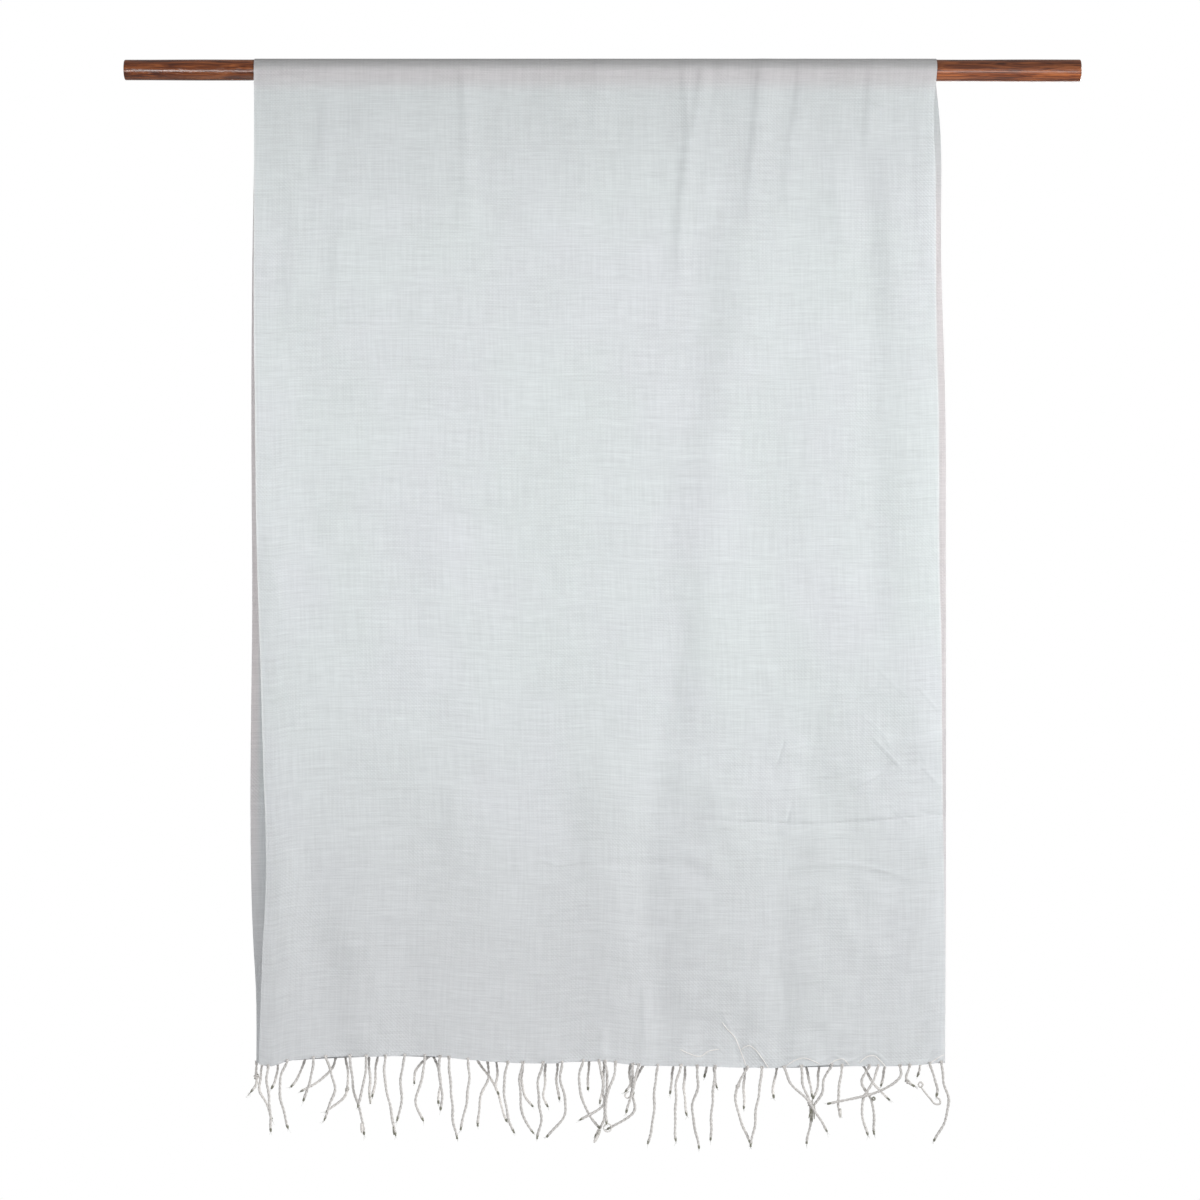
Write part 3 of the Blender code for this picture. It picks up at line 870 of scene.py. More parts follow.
    def surface(self, values: dict[str, object]) -> bpy.types.Material:
        """Plugs each value into the shader's own socket of that name, and returns the material.

        Args:
            values: What goes into each named socket.

        Returns:
            The material.
        """
        for name, value in values.items():
            self.plug(self.shader.inputs[name], value)
        return self.material


@dataclass(frozen=True)
class WovenCloth:
    """Thin pale weave: plain ground, small diamonds in patches, uneven weft slubs and faint warp lines."""

    colour: Colour = (0.714, 0.747, 0.749)
    warm: Colour = (0.723, 0.742, 0.758)
    edge: Colour = (0.80, 0.815, 0.815)
    # Painted shade towards both hems
    painted_hem_shade: Colour = (0.676, 0.688, 0.700)
    behind_edge: Colour = (0.790, 0.755, 0.758)
    # Painted shade about the rod, where the cloth turns up over it and the dark rod shows through the thin
    # weave:
    # how far from its top each is full, where it is gone, and its colour
    painted_shade_by_rod: tuple[tuple[float, float, Colour], ...] = (
        (0.03, 0.20, (0.672, 0.699, 0.705)),
        (0.025, 0.045, (0.630, 0.618, 0.627)),
        (0.0125, 0.0218, (0.458, 0.457, 0.460)),
    )
    roughness: float = 0.86
    sheen: float = 0.18
    sheen_roughness: float = 0.5
    specular: float = 0.2
    lets_through: float = 0.30
    yarn: float = 0.00056
    diamond: float = 0.0072
    selvage: float = 0.0022
    weave_depth: float = 0.00003
    slub_depth: float = 0.00035
    diamond_depth: float = 0.00016
    slub_tone: float = 0.046
    fine_slub_tone: float = 0.042
    warp_line_tone: float = 0.034
    weft_band_tone: float = 0.018
    diamond_tone: float = 0.022
    patches: Grain = Grain((11.0, 8.0, 1.0))
    slubs: Grain = Grain((26.0, 620.0, 1.0), 3.0, 0.62)
    fine_slubs: Grain = Grain((60.0, 1500.0, 1.0), 2.0, 0.6)
    warp_lines: Grain = Grain((520.0, 22.0, 1.0), 2.0, 0.6)
    weft_bands: Grain = Grain((3.5, 300.0, 1.0), 2.0, 0.6)
    clouds: Grain = Grain((8.0, 6.0, 1.0), 3.0)

    def wave(self, graph: Graph, value: Socket, length: float) -> Socket:
        """A sine of a distance, -1 to 1, that repeats after a length."""
        return graph.calc("SINE", graph.calc("MULTIPLY", value, math.tau / length))

    def material(self, width: float, length: float, over_rod: float) -> bpy.types.Material:
        """Builds the weave.

        Args:
            width: The sheet's width, in metres.
            length: Its length from hem to hem, in metres.
            over_rod: How far along the sheet, from the front hem, the middle of the turn over the rod lies.

        Returns:
            The material. It reads the piece's UV map in metres: across, and along from the front hem.
        """
        graph = Graph("pale_weave")
        uv = graph.uv()
        across, along, _ = graph.parts(uv)
        weave = graph.calc("MULTIPLY", *(self.wave(graph, way, self.yarn) for way in (across, along)))
        rising = self.wave(graph, graph.calc("ADD", across, along), self.diamond)
        falling = self.wave(graph, graph.calc("SUBTRACT", across, along), self.diamond)
        crossed = graph.calc("ABSOLUTE", graph.calc("MULTIPLY", rising, falling))
        patches = graph.span(graph.noise(uv, self.patches), 0.42, 0.62, 0.15, 1.0)
        diamonds = graph.calc("MULTIPLY", graph.span(crossed, 0.0, 1.0, -1.0, 1.0), patches)
        slubs, clouds = graph.noise(uv, self.slubs), graph.noise(uv, self.clouds)

        tone = graph.swing(slubs, 0.25, self.slub_tone)
        for layer in (
            graph.swing(graph.noise(uv, self.fine_slubs), 0.25, self.fine_slub_tone),
            graph.swing(graph.noise(uv, self.warp_lines), 0.25, self.warp_line_tone),
            graph.swing(graph.noise(uv, self.weft_bands), 0.3, self.weft_band_tone),
            graph.calc("MULTIPLY", diamonds, self.diamond_tone),
        ):
            tone = graph.calc("ADD", tone, layer)
        colour = graph.mix(graph.span(clouds, 0.35, 0.7), self.colour, self.warm)
        from_edge = graph.calc("MINIMUM", across, graph.calc("SUBTRACT", width, across))
        colour = graph.mix(graph.fade(from_edge, 0.0, self.selvage), colour, self.edge)
        on_back = graph.span(along, over_rod + 0.03, over_rod + 0.09)
        behind = graph.calc("MULTIPLY", on_back, graph.fade(from_edge, 0.004, 0.012))
        colour = graph.mix(behind, colour, self.behind_edge)
        from_rod = graph.calc("ABSOLUTE", graph.calc("SUBTRACT", along, over_rod))
        # Painted shade over the rod, darkest where the cloth lies on it
        for full, gone, shade_colour in self.painted_shade_by_rod:
            colour = graph.mix(graph.fade(from_rod, full, gone), colour, shade_colour)
        # Painted shade: the cloth is darker towards both hems, and less so towards its right edge
        from_hem = graph.calc("MINIMUM", along, graph.calc("SUBTRACT", length, along))
        darkened = graph.fade(graph.calc("ADD", from_hem, graph.swing(clouds, 0.3, 0.03)), 0.03, 0.42)
        weaker_to_right = graph.span(across, 0.45 * width, 0.85 * width, 1.0, 0.66)
        colour = graph.mix(graph.calc("MULTIPLY", darkened, weaker_to_right), colour, self.painted_hem_shade)
        colour = graph.shade(colour, graph.calc("ADD", tone, 1.0))

        normal = graph.bump(graph.span(weave, -1.0, 1.0), self.weave_depth, 0.5)
        normal = graph.bump(slubs, self.slub_depth, 0.6, normal)
        normal = graph.bump(graph.span(diamonds, -1.0, 1.0), self.diamond_depth, 0.7, normal)
        graph.let_through(self.lets_through, colour, normal)
        return graph.surface({
            "Base Color": colour,
            "Roughness": self.roughness,
            "Sheen Weight": self.sheen,
            "Sheen Roughness": self.sheen_roughness,
            "Specular IOR Level": self.specular,
            "Normal": normal,
        })


@dataclass(frozen=True)
class TwistedCord:
    """Soft undyed yarn, twisted in two plies, with soiled ends."""

    colour: Colour = (0.475, 0.458, 0.443)
    # Painted light: a lighter colour for yarn that hangs in shade, taken by each point's shade lift
    shadowed: Colour = (0.74, 0.71, 0.68)
    darkened: Colour = (0.19, 0.19, 0.15)
    # Painted light: yarn lying on the cloth's face is made this much lighter
    lit_on_cloth: float = 1.72
    roughness: float = 0.9
    sheen: float = 0.2
    specular: float = 0.2
    fibre_depth: float = 0.00012
    fibres: Grain = Grain((3200.0, 420.0, 1.0), 2.0, 0.6, turn=24.0)
    blotches: Grain = Grain((150.0, 110.0, 1.0))

    def material(self) -> bpy.types.Material:
        """Builds the yarn, which reads its UV map in metres and the numbers kept with each point.

        Returns:
            The material.
        """
        graph = Graph("twisted_yarn")
        uv, age = graph.uv(), graph.attribute("age")
        fibres, blotches = graph.noise(uv, self.fibres), graph.noise(uv, self.blotches)
        soil = graph.calc("ADD", graph.attribute("soil"), graph.swing(blotches, 0.3, 0.35))
        # Painted light: yarn in shade takes the lighter colour by its shade lift
        colour = graph.mix(age, self.colour, self.shadowed)
        colour = graph.mix(graph.span(soil, 0.25, 0.85), colour, self.darkened)
        tone = graph.calc("ADD", graph.span(fibres, 0.2, 0.8, 0.90, 1.08), graph.swing(blotches, 0.25, 0.05))
        # Painted light: yarn lying on the cloth (shade lift -1) is made lighter still
        tone = graph.calc("MULTIPLY", tone, graph.span(age, -1.0, 0.0, self.lit_on_cloth, 1.0))
        return graph.surface({
            "Base Color": graph.shade(colour, tone),
            "Roughness": self.roughness,
            "Sheen Weight": self.sheen,
            "Specular IOR Level": self.specular,
            "Normal": graph.bump(fibres, self.fibre_depth, 0.6),
        })


@dataclass(frozen=True)
class VarnishedWood:
    """Red-brown hardwood with long grain along the rod, small dark pores and a clear gloss coat."""

    dark: Colour = (0.060, 0.013, 0.004)
    middle: Colour = (0.150, 0.036, 0.008)
    light: Colour = (0.290, 0.085, 0.021)
    end_dark: Colour = (0.075, 0.030, 0.015)
    end_light: Colour = (0.230, 0.105, 0.050)
    bands: Grain = Grain((20.0, 260.0, 260.0), 4.0, 0.62, 1.6)
    streaks: Grain = Grain((14.0, 900.0, 900.0), 3.0, 0.6, 0.2)
    pores: Grain = Grain((60.0, 2600.0, 2600.0))
    ripples: Grain = Grain((150.0, 420.0, 420.0), 3.0, 0.6)
    wobble: Grain = Grain((1.0, 160.0, 160.0))
    fleck: Grain = Grain((1.0, 2400.0, 2400.0))
    band_share: float = 0.68
    streak_share: float = 0.32
    streak_depth: float = 0.00018
    ripple_depth: float = 0.00050
    pore_depth: float = 0.00012
    coat: float = 0.5
    coat_roughness: float = 0.07
    heart: tuple[float, float] = (-0.004, -0.007)
    rings: float = 4200.0
    end_roughness: float = 0.62
    ring_depth: float = 0.00010

    def side(self) -> bpy.types.Material:
        """The long side of the rod, warmer and duller towards its right end, where its top has painted shade
        and its lower side painted light.

        Returns:
            The material.
        """
        graph = Graph("varnished_grain")
        place = graph.place()
        x, _, z = graph.parts(place)
        streaks = graph.noise(place, self.streaks)
        bands = graph.calc("MULTIPLY", graph.noise(place, self.bands), self.band_share)
        grain = graph.calc("ADD", bands, graph.calc("MULTIPLY", streaks, self.streak_share))
        colour = graph.ramp(grain, ((0.40, self.dark), (0.49, self.middle), (0.60, self.light)))
        # Painted shade on the top of the rod's right end, and painted light below it
        painted_shade_on_top = graph.span(x, 0.05, 0.30, 1.0, graph.span(z, -0.0065, 0.0035, 1.32, 0.58))
        tone = graph.calc("MULTIPLY", graph.span(x, -0.3, 0.45, 0.90, 1.16), painted_shade_on_top)
        pits = graph.span(graph.noise(place, self.pores), 0.60, 0.72, 1.0, 0.55)
        duller = graph.span(x, -0.33, 0.33, 0.09, 0.34)
        relief = graph.bump(graph.noise(place, self.ripples), self.ripple_depth, 0.8)
        relief = graph.bump(streaks, self.streak_depth, 0.6, relief)
        return graph.surface({
            "Base Color": graph.shade(colour, graph.calc("MULTIPLY", tone, pits)),
            "Roughness": graph.calc("ADD", graph.span(streaks, 0.3, 0.7, 0.0, 0.06), duller),
            "Coat Weight": self.coat,
            "Coat Roughness": self.coat_roughness,
            "Normal": graph.bump(pits, self.pore_depth, 0.6, relief),
        })

    def end(self) -> bpy.types.Material:
        """The sawn ends, with rings about a heart that lies off the middle.

        Returns:
            The material.
        """
        graph = Graph("end_grain")
        place = graph.place()
        _, y, z = graph.parts(place)
        off = [graph.calc("SUBTRACT", side, middle) for side, middle in zip((y, z), self.heart)]
        turns = graph.calc("MULTIPLY", graph.distance(*off), self.rings)
        wobble = graph.calc("MULTIPLY", graph.noise(place, self.wobble), 7.0)
        rings = graph.calc("SINE", graph.calc("ADD", turns, wobble))
        fleck = graph.calc("MULTIPLY", graph.noise(place, self.fleck), 0.3)
        share = graph.calc("ADD", graph.span(rings, -1.0, 1.0, 0.0, 0.7), fleck)
        return graph.surface({
            "Base Color": graph.ramp(share, ((0.1, self.end_dark), (0.9, self.end_light))),
            "Roughness": self.end_roughness,
            "Normal": graph.bump(share, self.ring_depth, 0.6),
        })


@dataclass(frozen=True)
class PaleFloor:
    """A matt off-white floor that thins out to nothing away from the object."""

    colour: Colour = (0.55, 0.55, 0.55)
    mottle: Grain = Grain((9.0, 9.0, 9.0), 3.0)
    roughness: float = 0.9
    specular: float = 0.1
    glow: float = 0.42
    solid_to: float = 0.40
    gone_by: float = 0.80

    def material(self) -> bpy.types.Material:
        """Builds the floor.

        Returns:
            The material.
        """
        graph = Graph("pale_floor")
        place = graph.place()
        x, y, _ = graph.parts(place)
        mottle = graph.span(graph.noise(place, self.mottle), 0.2, 0.8, 0.985, 1.0)
        return graph.surface({
            "Base Color": graph.shade(self.colour, mottle),
            "Roughness": self.roughness,
            "Specular IOR Level": self.specular,
            "Emission Color": (1.0, 1.0, 1.0),
            "Emission Strength": self.glow,
            "Alpha": graph.fade(graph.distance(x, y), self.solid_to, self.gone_by),
        })


@dataclass
class Rod:
    """The round rod: a little thicker towards its right end, its top level, its sawn ends eased."""

    diameter: float = 0.0215
    length: float = 0.954
    gain: float = 0.0004
    sides: int = 72
    stations: int = 60
    edge: float = 0.0009
    end_inset: float = 0.0012
    end_dish: float = 0.00012
    waver: float = 0.00010
    finish: VarnishedWood = field(default_factory=VarnishedWood)

    def radius_at(self, x: np.ndarray | float) -> np.ndarray:
        """The rod's radius at x."""
        return self.diameter / 2 + self.gain * np.asarray(x) / (self.length / 2)

    def axis_at(self, x: np.ndarray | float) -> np.ndarray:
        """The height of the rod's axis at x, which keeps its top level."""
        return self.diameter / 2 - self.radius_at(x)

    def build(self) -> Piece:
        """Turns the rod from a cylinder: stations along it, eased rims, its taper and a slight waver.

        Returns:
            The finished rod, without materials.
        """
        deselect()
        bpy.ops.mesh.primitive_cylinder_add(
            vertices=self.sides, radius=self.diameter / 2, depth=self.length, rotation=(0.0, math.pi / 2, 0.0)
        )
        rod = bpy.context.active_object
        rod.name = "varnished_rod"
        bpy.ops.object.transform_apply(location=True, rotation=True, scale=True)
        bpy.ops.object.mode_set(mode="EDIT")
        self.ease_ends(rod)
        self.cut_stations()
        bpy.ops.object.mode_set(mode="OBJECT")
        self.shape(rod)
        make_active(rod)
        bpy.ops.object.shade_smooth_by_angle(angle=math.radians(35))
        return rod

    def pick_ends(self, rod: Piece, least: float) -> None:
        """Selects the end faces of the rod and those that slope towards them.

        Args:
            rod: The rod, in edit mode.
            least: The least share of the normal along the rod.
        """
        bpy.ops.mesh.select_mode(type="FACE")
        bpy.ops.mesh.select_all(action="DESELECT")
        bm = bmesh.from_edit_mesh(rod.data)
        for face in bm.faces:
            face.select = abs(face.normal.x) > least
        bmesh.update_edit_mesh(rod.data)

    def ease_ends(self, rod: Piece) -> None:
        """Rounds the rims of both ends and insets their faces.

        Args:
            rod: The rod, in edit mode.
        """
        self.pick_ends(rod, 0.9)
        bpy.ops.mesh.select_mode(type="EDGE")
        bpy.ops.mesh.bevel(offset=self.edge, segments=3, affect="EDGES")
        self.pick_ends(rod, 0.99)
        bpy.ops.mesh.inset(thickness=self.end_inset, depth=-self.end_dish)

    def cut_stations(self) -> None:
        """Cuts the long faces at even stations, so that the rod can be shaped along its length."""
        reach = self.length / 2 - 4 * self.edge
        for x in np.linspace(-reach, reach, self.stations):
            bpy.ops.mesh.select_all(action="SELECT")
            bpy.ops.mesh.bisect(plane_co=(x, 0.0, 0.0), plane_no=(1.0, 0.0, 0.0))

    def shape(self, rod: Piece) -> None:
        """Gives the rod its taper and its waver.

        Args:
            rod: The rod, in object mode.
        """
        points = read_points(rod)
        x = points[:, 0]
        angle = np.arctan2(points[:, 2], points[:, 1])
        waver = self.waver * (np.sin(x * 23.0 + 2.0 * angle) + np.sin(x * 61.0 + 1.3) * 0.5)
        grow = (self.radius_at(x) - 1.5 * self.waver + waver) / (self.diameter / 2)
        points[:, 1] *= grow
        points[:, 2] = points[:, 2] * grow + self.axis_at(x)
        write_points(rod, points)

    def dress(self, rod: Piece) -> None:
        """Gives the sides their varnish and the sawn faces their end grain.

        Args:
            rod: The rod.
        """
        rod.data.materials.append(self.finish.side())
        rod.data.materials.append(self.finish.end())
        for face in rod.data.polygons:
            face.material_index = 1 if abs(face.normal.x) > 0.9 else 0


@dataclass
class Fall:
    """One hanging half of the shawl: its outline, how far it hangs out, its creases and its unevenness."""

    side: Side
    edges: tuple[Edge, ...]
    hem: tuple[Hem, ...]
    belly: tuple[Belly, ...]
    creases: tuple[Crease, ...]
    rumples: tuple[Rumple, ...]
    seated_to: float = 0.06

    def edge_at(self, z: np.ndarray | float) -> tuple[np.ndarray, np.ndarray]:
        """The left and the right edge at height z.

        Args:
            z: The height, in metres.

        Returns:
            The x of both edges there, in metres.
        """
        heights = -column(self.edges, "z")
        left = smooth_line(-np.asarray(z), heights, column(self.edges, "left"))
        right = smooth_line(-np.asarray(z), heights, column(self.edges, "right"))
        return left, right

    def hem_at(self, x: np.ndarray | float) -> np.ndarray:
        """How far below the rod's axis the hem lies at x."""
        return smooth_line(np.asarray(x, float), column(self.hem, "x"), column(self.hem, "drop"))

    def belly_at(self, z: np.ndarray, seat: np.ndarray) -> np.ndarray:
        """How far the wall lies from the rod's axis at height z, starting from its seat on the rod.

        Args:
            z: Each point's height, in metres.
            seat: How far the wall lies from the axis on the rod.

        Returns:
            The distance at each point, in metres.
        """
        heights = np.concatenate([[0.0], -column(self.belly, "z")])
        start = float(np.mean(seat))
        depths = np.concatenate([[start], column(self.belly, "depth")])
        near_rod = 1.0 - smooth_step(-z / self.seated_to)
        return smooth_line(-z, heights, depths) + (seat - start) * near_rod


@dataclass
class ShawlCloth:
    """The woven sheet, from its front hem up over the rod and down to its back hem."""

    front: Fall
    back: Fall
    rod: Rod
    thickness: float = 0.0007
    clearance: float = 0.00006
    flat_width: float = 0.70
    cut_length: float = 2.03
    fade: float = 0.35
    most_fade: float = 0.06
    crispness: float = 1.3
    runs_out_below: float = 0.975
    rumpled_from: float = 0.05
    streaked_from: float = 0.012
    streaked_to: float = 0.30
    wrinkled_right_of: float = -0.04
    wrinkled_below: float = 0.54
    wrinkled_over: float = 0.16
    rippled_to: float = 0.004
    ripples_fade: float = 0.045
    wrap_steps: int = 15
    splits: tuple[tuple[float, float], ...] = ((0.007, 4.5), (0.0035, 3.2))
    over_rod: float = field(default=0.0, init=False)
    hem_to_hem: float = field(default=0.0, init=False)
    finish: WovenCloth = field(default_factory=WovenCloth)

    def seat(self, x: np.ndarray) -> np.ndarray:
        """How far the middle of the wall lies from the rod's axis where it rests on the rod."""
        return self.rod.radius_at(x) + self.clearance + self.thickness / 2

    def crease_lift(self, crease: Crease, x: np.ndarray, z: np.ndarray) -> np.ndarray:
        """How far one crease lifts the cloth.

        Args:
            crease: The crease.
            x: Each point's place across, in metres.
            z: Each point's height, in metres.

        Returns:
            The lift at each point, in metres.
        """
        along, off, places = crease.measure(x, z)
        u = off / (np.where(off < 0, crease.before, crease.after) * MM)
        crown = np.exp(-(u**2)) if crease.kind is Kind.SOFT else np.exp(-self.crispness * np.abs(u))
        fade = min(self.fade * (places[-1] - places[0]), self.most_fade)
        lift = crease.height * MM * crown
        if crease.run is Run.ACROSS or places[0] > 0:
            lift = lift * smooth_step((along - places[0]) / fade + 0.5)
        if crease.run is Run.ACROSS or places[-1] < self.runs_out_below:
            lift = lift * smooth_step((places[-1] - along) / fade + 0.5)
        return lift

    def lift(self, fall: Fall, x: np.ndarray, z: np.ndarray) -> np.ndarray:
        """How far all the creases and the unevenness of a fall lift its cloth.

        Args:
            fall: The fall.
            x: Each point's place across, in metres.
            z: Each point's height, in metres.

        Returns:
            The lift at each point, in metres, away from the rod.
        """
        total = sum(self.crease_lift(crease, x, z) for crease in fall.creases)
        total = total + rumpled(x, z, fall.rumples) * smooth_step(-z / self.rumpled_from)
        below_rod = smooth_step(-z / self.streaked_from)
        streaked = (1.0 - smooth_step(-z / self.streaked_to)) * below_rod
        total = total + rumpled(x, z, STREAKS) * (0.25 + 0.75 * streaked) * below_rod
        if fall.side is Side.FRONT:
            on_right = smooth_step((x - self.wrinkled_right_of) / self.wrinkled_over)
            low = smooth_step((-z - self.wrinkled_below) / self.wrinkled_over)
            total = total + rumpled(x, z, WRINKLES) * (on_right * low)
        above_hem = smooth_step((fall.hem_at(x) + z - self.rippled_to) / self.ripples_fade)
        return total + rumpled(x, z, HEM_RIPPLES) * (1.0 - above_hem)

    def spots(self, fall: Fall, shares: np.ndarray, downs: np.ndarray) -> tuple[np.ndarray, np.ndarray]:
        """Where points of a fall lie across and up.

        Args:
            fall: The fall.
            shares: Each point's share of the way from the left edge to the right.
            downs: Each point's share of the way from the rod's axis to the hem.

        Returns:
            The points' x and z, in metres.
        """
        left, right = fall.edge_at(-downs * float(fall.hem_at(0.0)))
        x = left + (right - left) * shares
        axis = self.rod.axis_at(x)
        return x, axis - downs * (fall.hem_at(x) + axis)

    def fall_points(self, fall: Fall, shares: np.ndarray, downs: np.ndarray) -> np.ndarray:
        """Points on the middle of a fall's wall.

        Args:
            fall: The fall.
            shares: Each point's share of the way from the left edge to the right.
            downs: Each point's share of the way from the rod's axis to the hem.

        Returns:
            The points, by three.
        """
        x, z = self.spots(fall, shares, downs)
        depth = fall.belly_at(z, self.seat(x)) + self.lift(fall, x, z)
        return np.stack([x, fall.side.value * depth, z], axis=1)

    def wrap_points(self, shares: np.ndarray, turns: np.ndarray) -> np.ndarray:
        """Points on the middle of the wall over the rod.

        Args:
            shares: Each point's share of the way from the left edge to the right.
            turns: Each point's share of the way from the rod's front over its top to its back.

        Returns:
            The points, by three.
        """
        left, right = self.front.edge_at(0.0)
        x = left + (right - left) * shares
        rest = np.zeros_like(x)
        angle = math.pi * turns
        lift = np.where(turns < 0.5, self.lift(self.front, x, rest), self.lift(self.back, x, rest))
        radius = self.seat(x) + lift * np.cos(angle) ** 2
        return np.stack([x, -radius * np.cos(angle), self.rod.axis_at(x) + radius * np.sin(angle)], axis=1)

    def points(self, shares: np.ndarray, ways: np.ndarray) -> np.ndarray:
        """Points on the middle of the whole wall.

        Args:
            shares: Each point's share of the way from the left edge to the right.
            ways: Each point's way along: from -1 at the front hem to 0 at the rod's front, to 1 at its back
                and to 2 at the back hem.

        Returns:
            The points, by three.
        """
        placed = np.empty((len(shares), 3))
        front, back = ways < 0.0, ways > 1.0
        over = ~front & ~back
        placed[front] = self.fall_points(self.front, shares[front], -ways[front])
        placed[over] = self.wrap_points(shares[over], ways[over])
        placed[back] = self.fall_points(self.back, shares[back], ways[back] - 1.0)
        return placed

    def rows(self) -> np.ndarray:
        """Each row's way along, from the front hem over the rod to the back hem."""
        over = np.linspace(0.0, 1.0, self.wrap_steps + 1)
        return np.concatenate([-banded(FRONT_ROW_BANDS)[::-1], over, 1.0 + banded(BACK_ROW_BANDS)])

    def split_by_creases(self, sheet: bmesh.types.BMesh) -> None:
        """Splits the flat sheet's faces near the narrow creases in front, and again by the sharpest.

        Args:
            sheet: The flat sheet, with its shares across and its ways along as x and y.
        """
        for reach, narrow in self.splits:
            middles = np.array([face.calc_center_median()[:2] for face in sheet.faces])
            x, z = self.spots(self.front, middles[:, 0], np.clip(-middles[:, 1], 0.0, 1.0))
            near = np.zeros(len(middles), bool)
            for crease in self.front.creases:
                if min(crease.before, crease.after) <= narrow:
                    along, off, places = crease.measure(x, z)
                    near |= (np.abs(off) < reach) & (along > places[0] - reach) & (along < places[-1] + reach)
            near &= middles[:, 1] < -0.004
            picked = [face for face, close in zip(sheet.faces, near) if close]
            edges = dict.fromkeys(edge for face in picked for edge in face.edges)
            bmesh.ops.subdivide_edges(sheet, edges=list(edges), cuts=1, use_grid_fill=True)
            bmesh.ops.triangulate(sheet, faces=[face for face in sheet.faces if len(face.verts) > 4])

    def build(self) -> Piece:
        """Lays out the sheet, and gives it its wall and its UV map.

        Returns:
            The finished sheet, without its material.
        """
        shares, ways = banded(COLUMN_BANDS), self.rows()
        across, down = (values.ravel() for values in np.meshgrid(shares, ways))
        grid = self.points(across, down).reshape(len(ways), len(shares), 3)
        steps = np.linalg.norm(np.diff(grid, axis=0), axis=2).mean(axis=1)
        along = np.concatenate([[0.0], np.cumsum(steps)])
        self.over_rod = float(np.interp(0.5, ways, along))
        self.hem_to_hem = float(along[-1])
        number = np.arange(len(across)).reshape(len(ways), len(shares))
        corners = (number[:-1, :-1], number[:-1, 1:], number[1:, 1:], number[1:, :-1])
        faces = np.stack([corner.ravel() for corner in corners], axis=1).tolist()
        cloth = mesh_object("shawl_cloth", np.stack([across, down, 0.0 * across], axis=1), faces)
        sheet = bmesh.new()
        sheet.from_mesh(cloth.data)
        self.split_by_creases(sheet)
        sheet.to_mesh(cloth.data)
        sheet.free()
        across, down, _ = read_points(cloth).T
        write_points(cloth, self.points(across, down))
        give_uv(cloth, np.stack([across * self.flat_width, np.interp(down, ways, along)], axis=1))
        wall = cloth.modifiers.new("wall", "SOLIDIFY")
        wall.thickness = self.thickness
        wall.offset = 0.0
        wall.use_quality_normals = True
        apply_modifiers(cloth)
        cloth.data.shade_smooth()
        cloth.data.set_sharp_from_angle(angle=math.radians(60))
        return cloth

    def dress(self, cloth: Piece) -> None:
        """Gives the sheet its weave."""
        cloth.data.materials.append(self.finish.material(self.flat_width, self.hem_to_hem, self.over_rod))


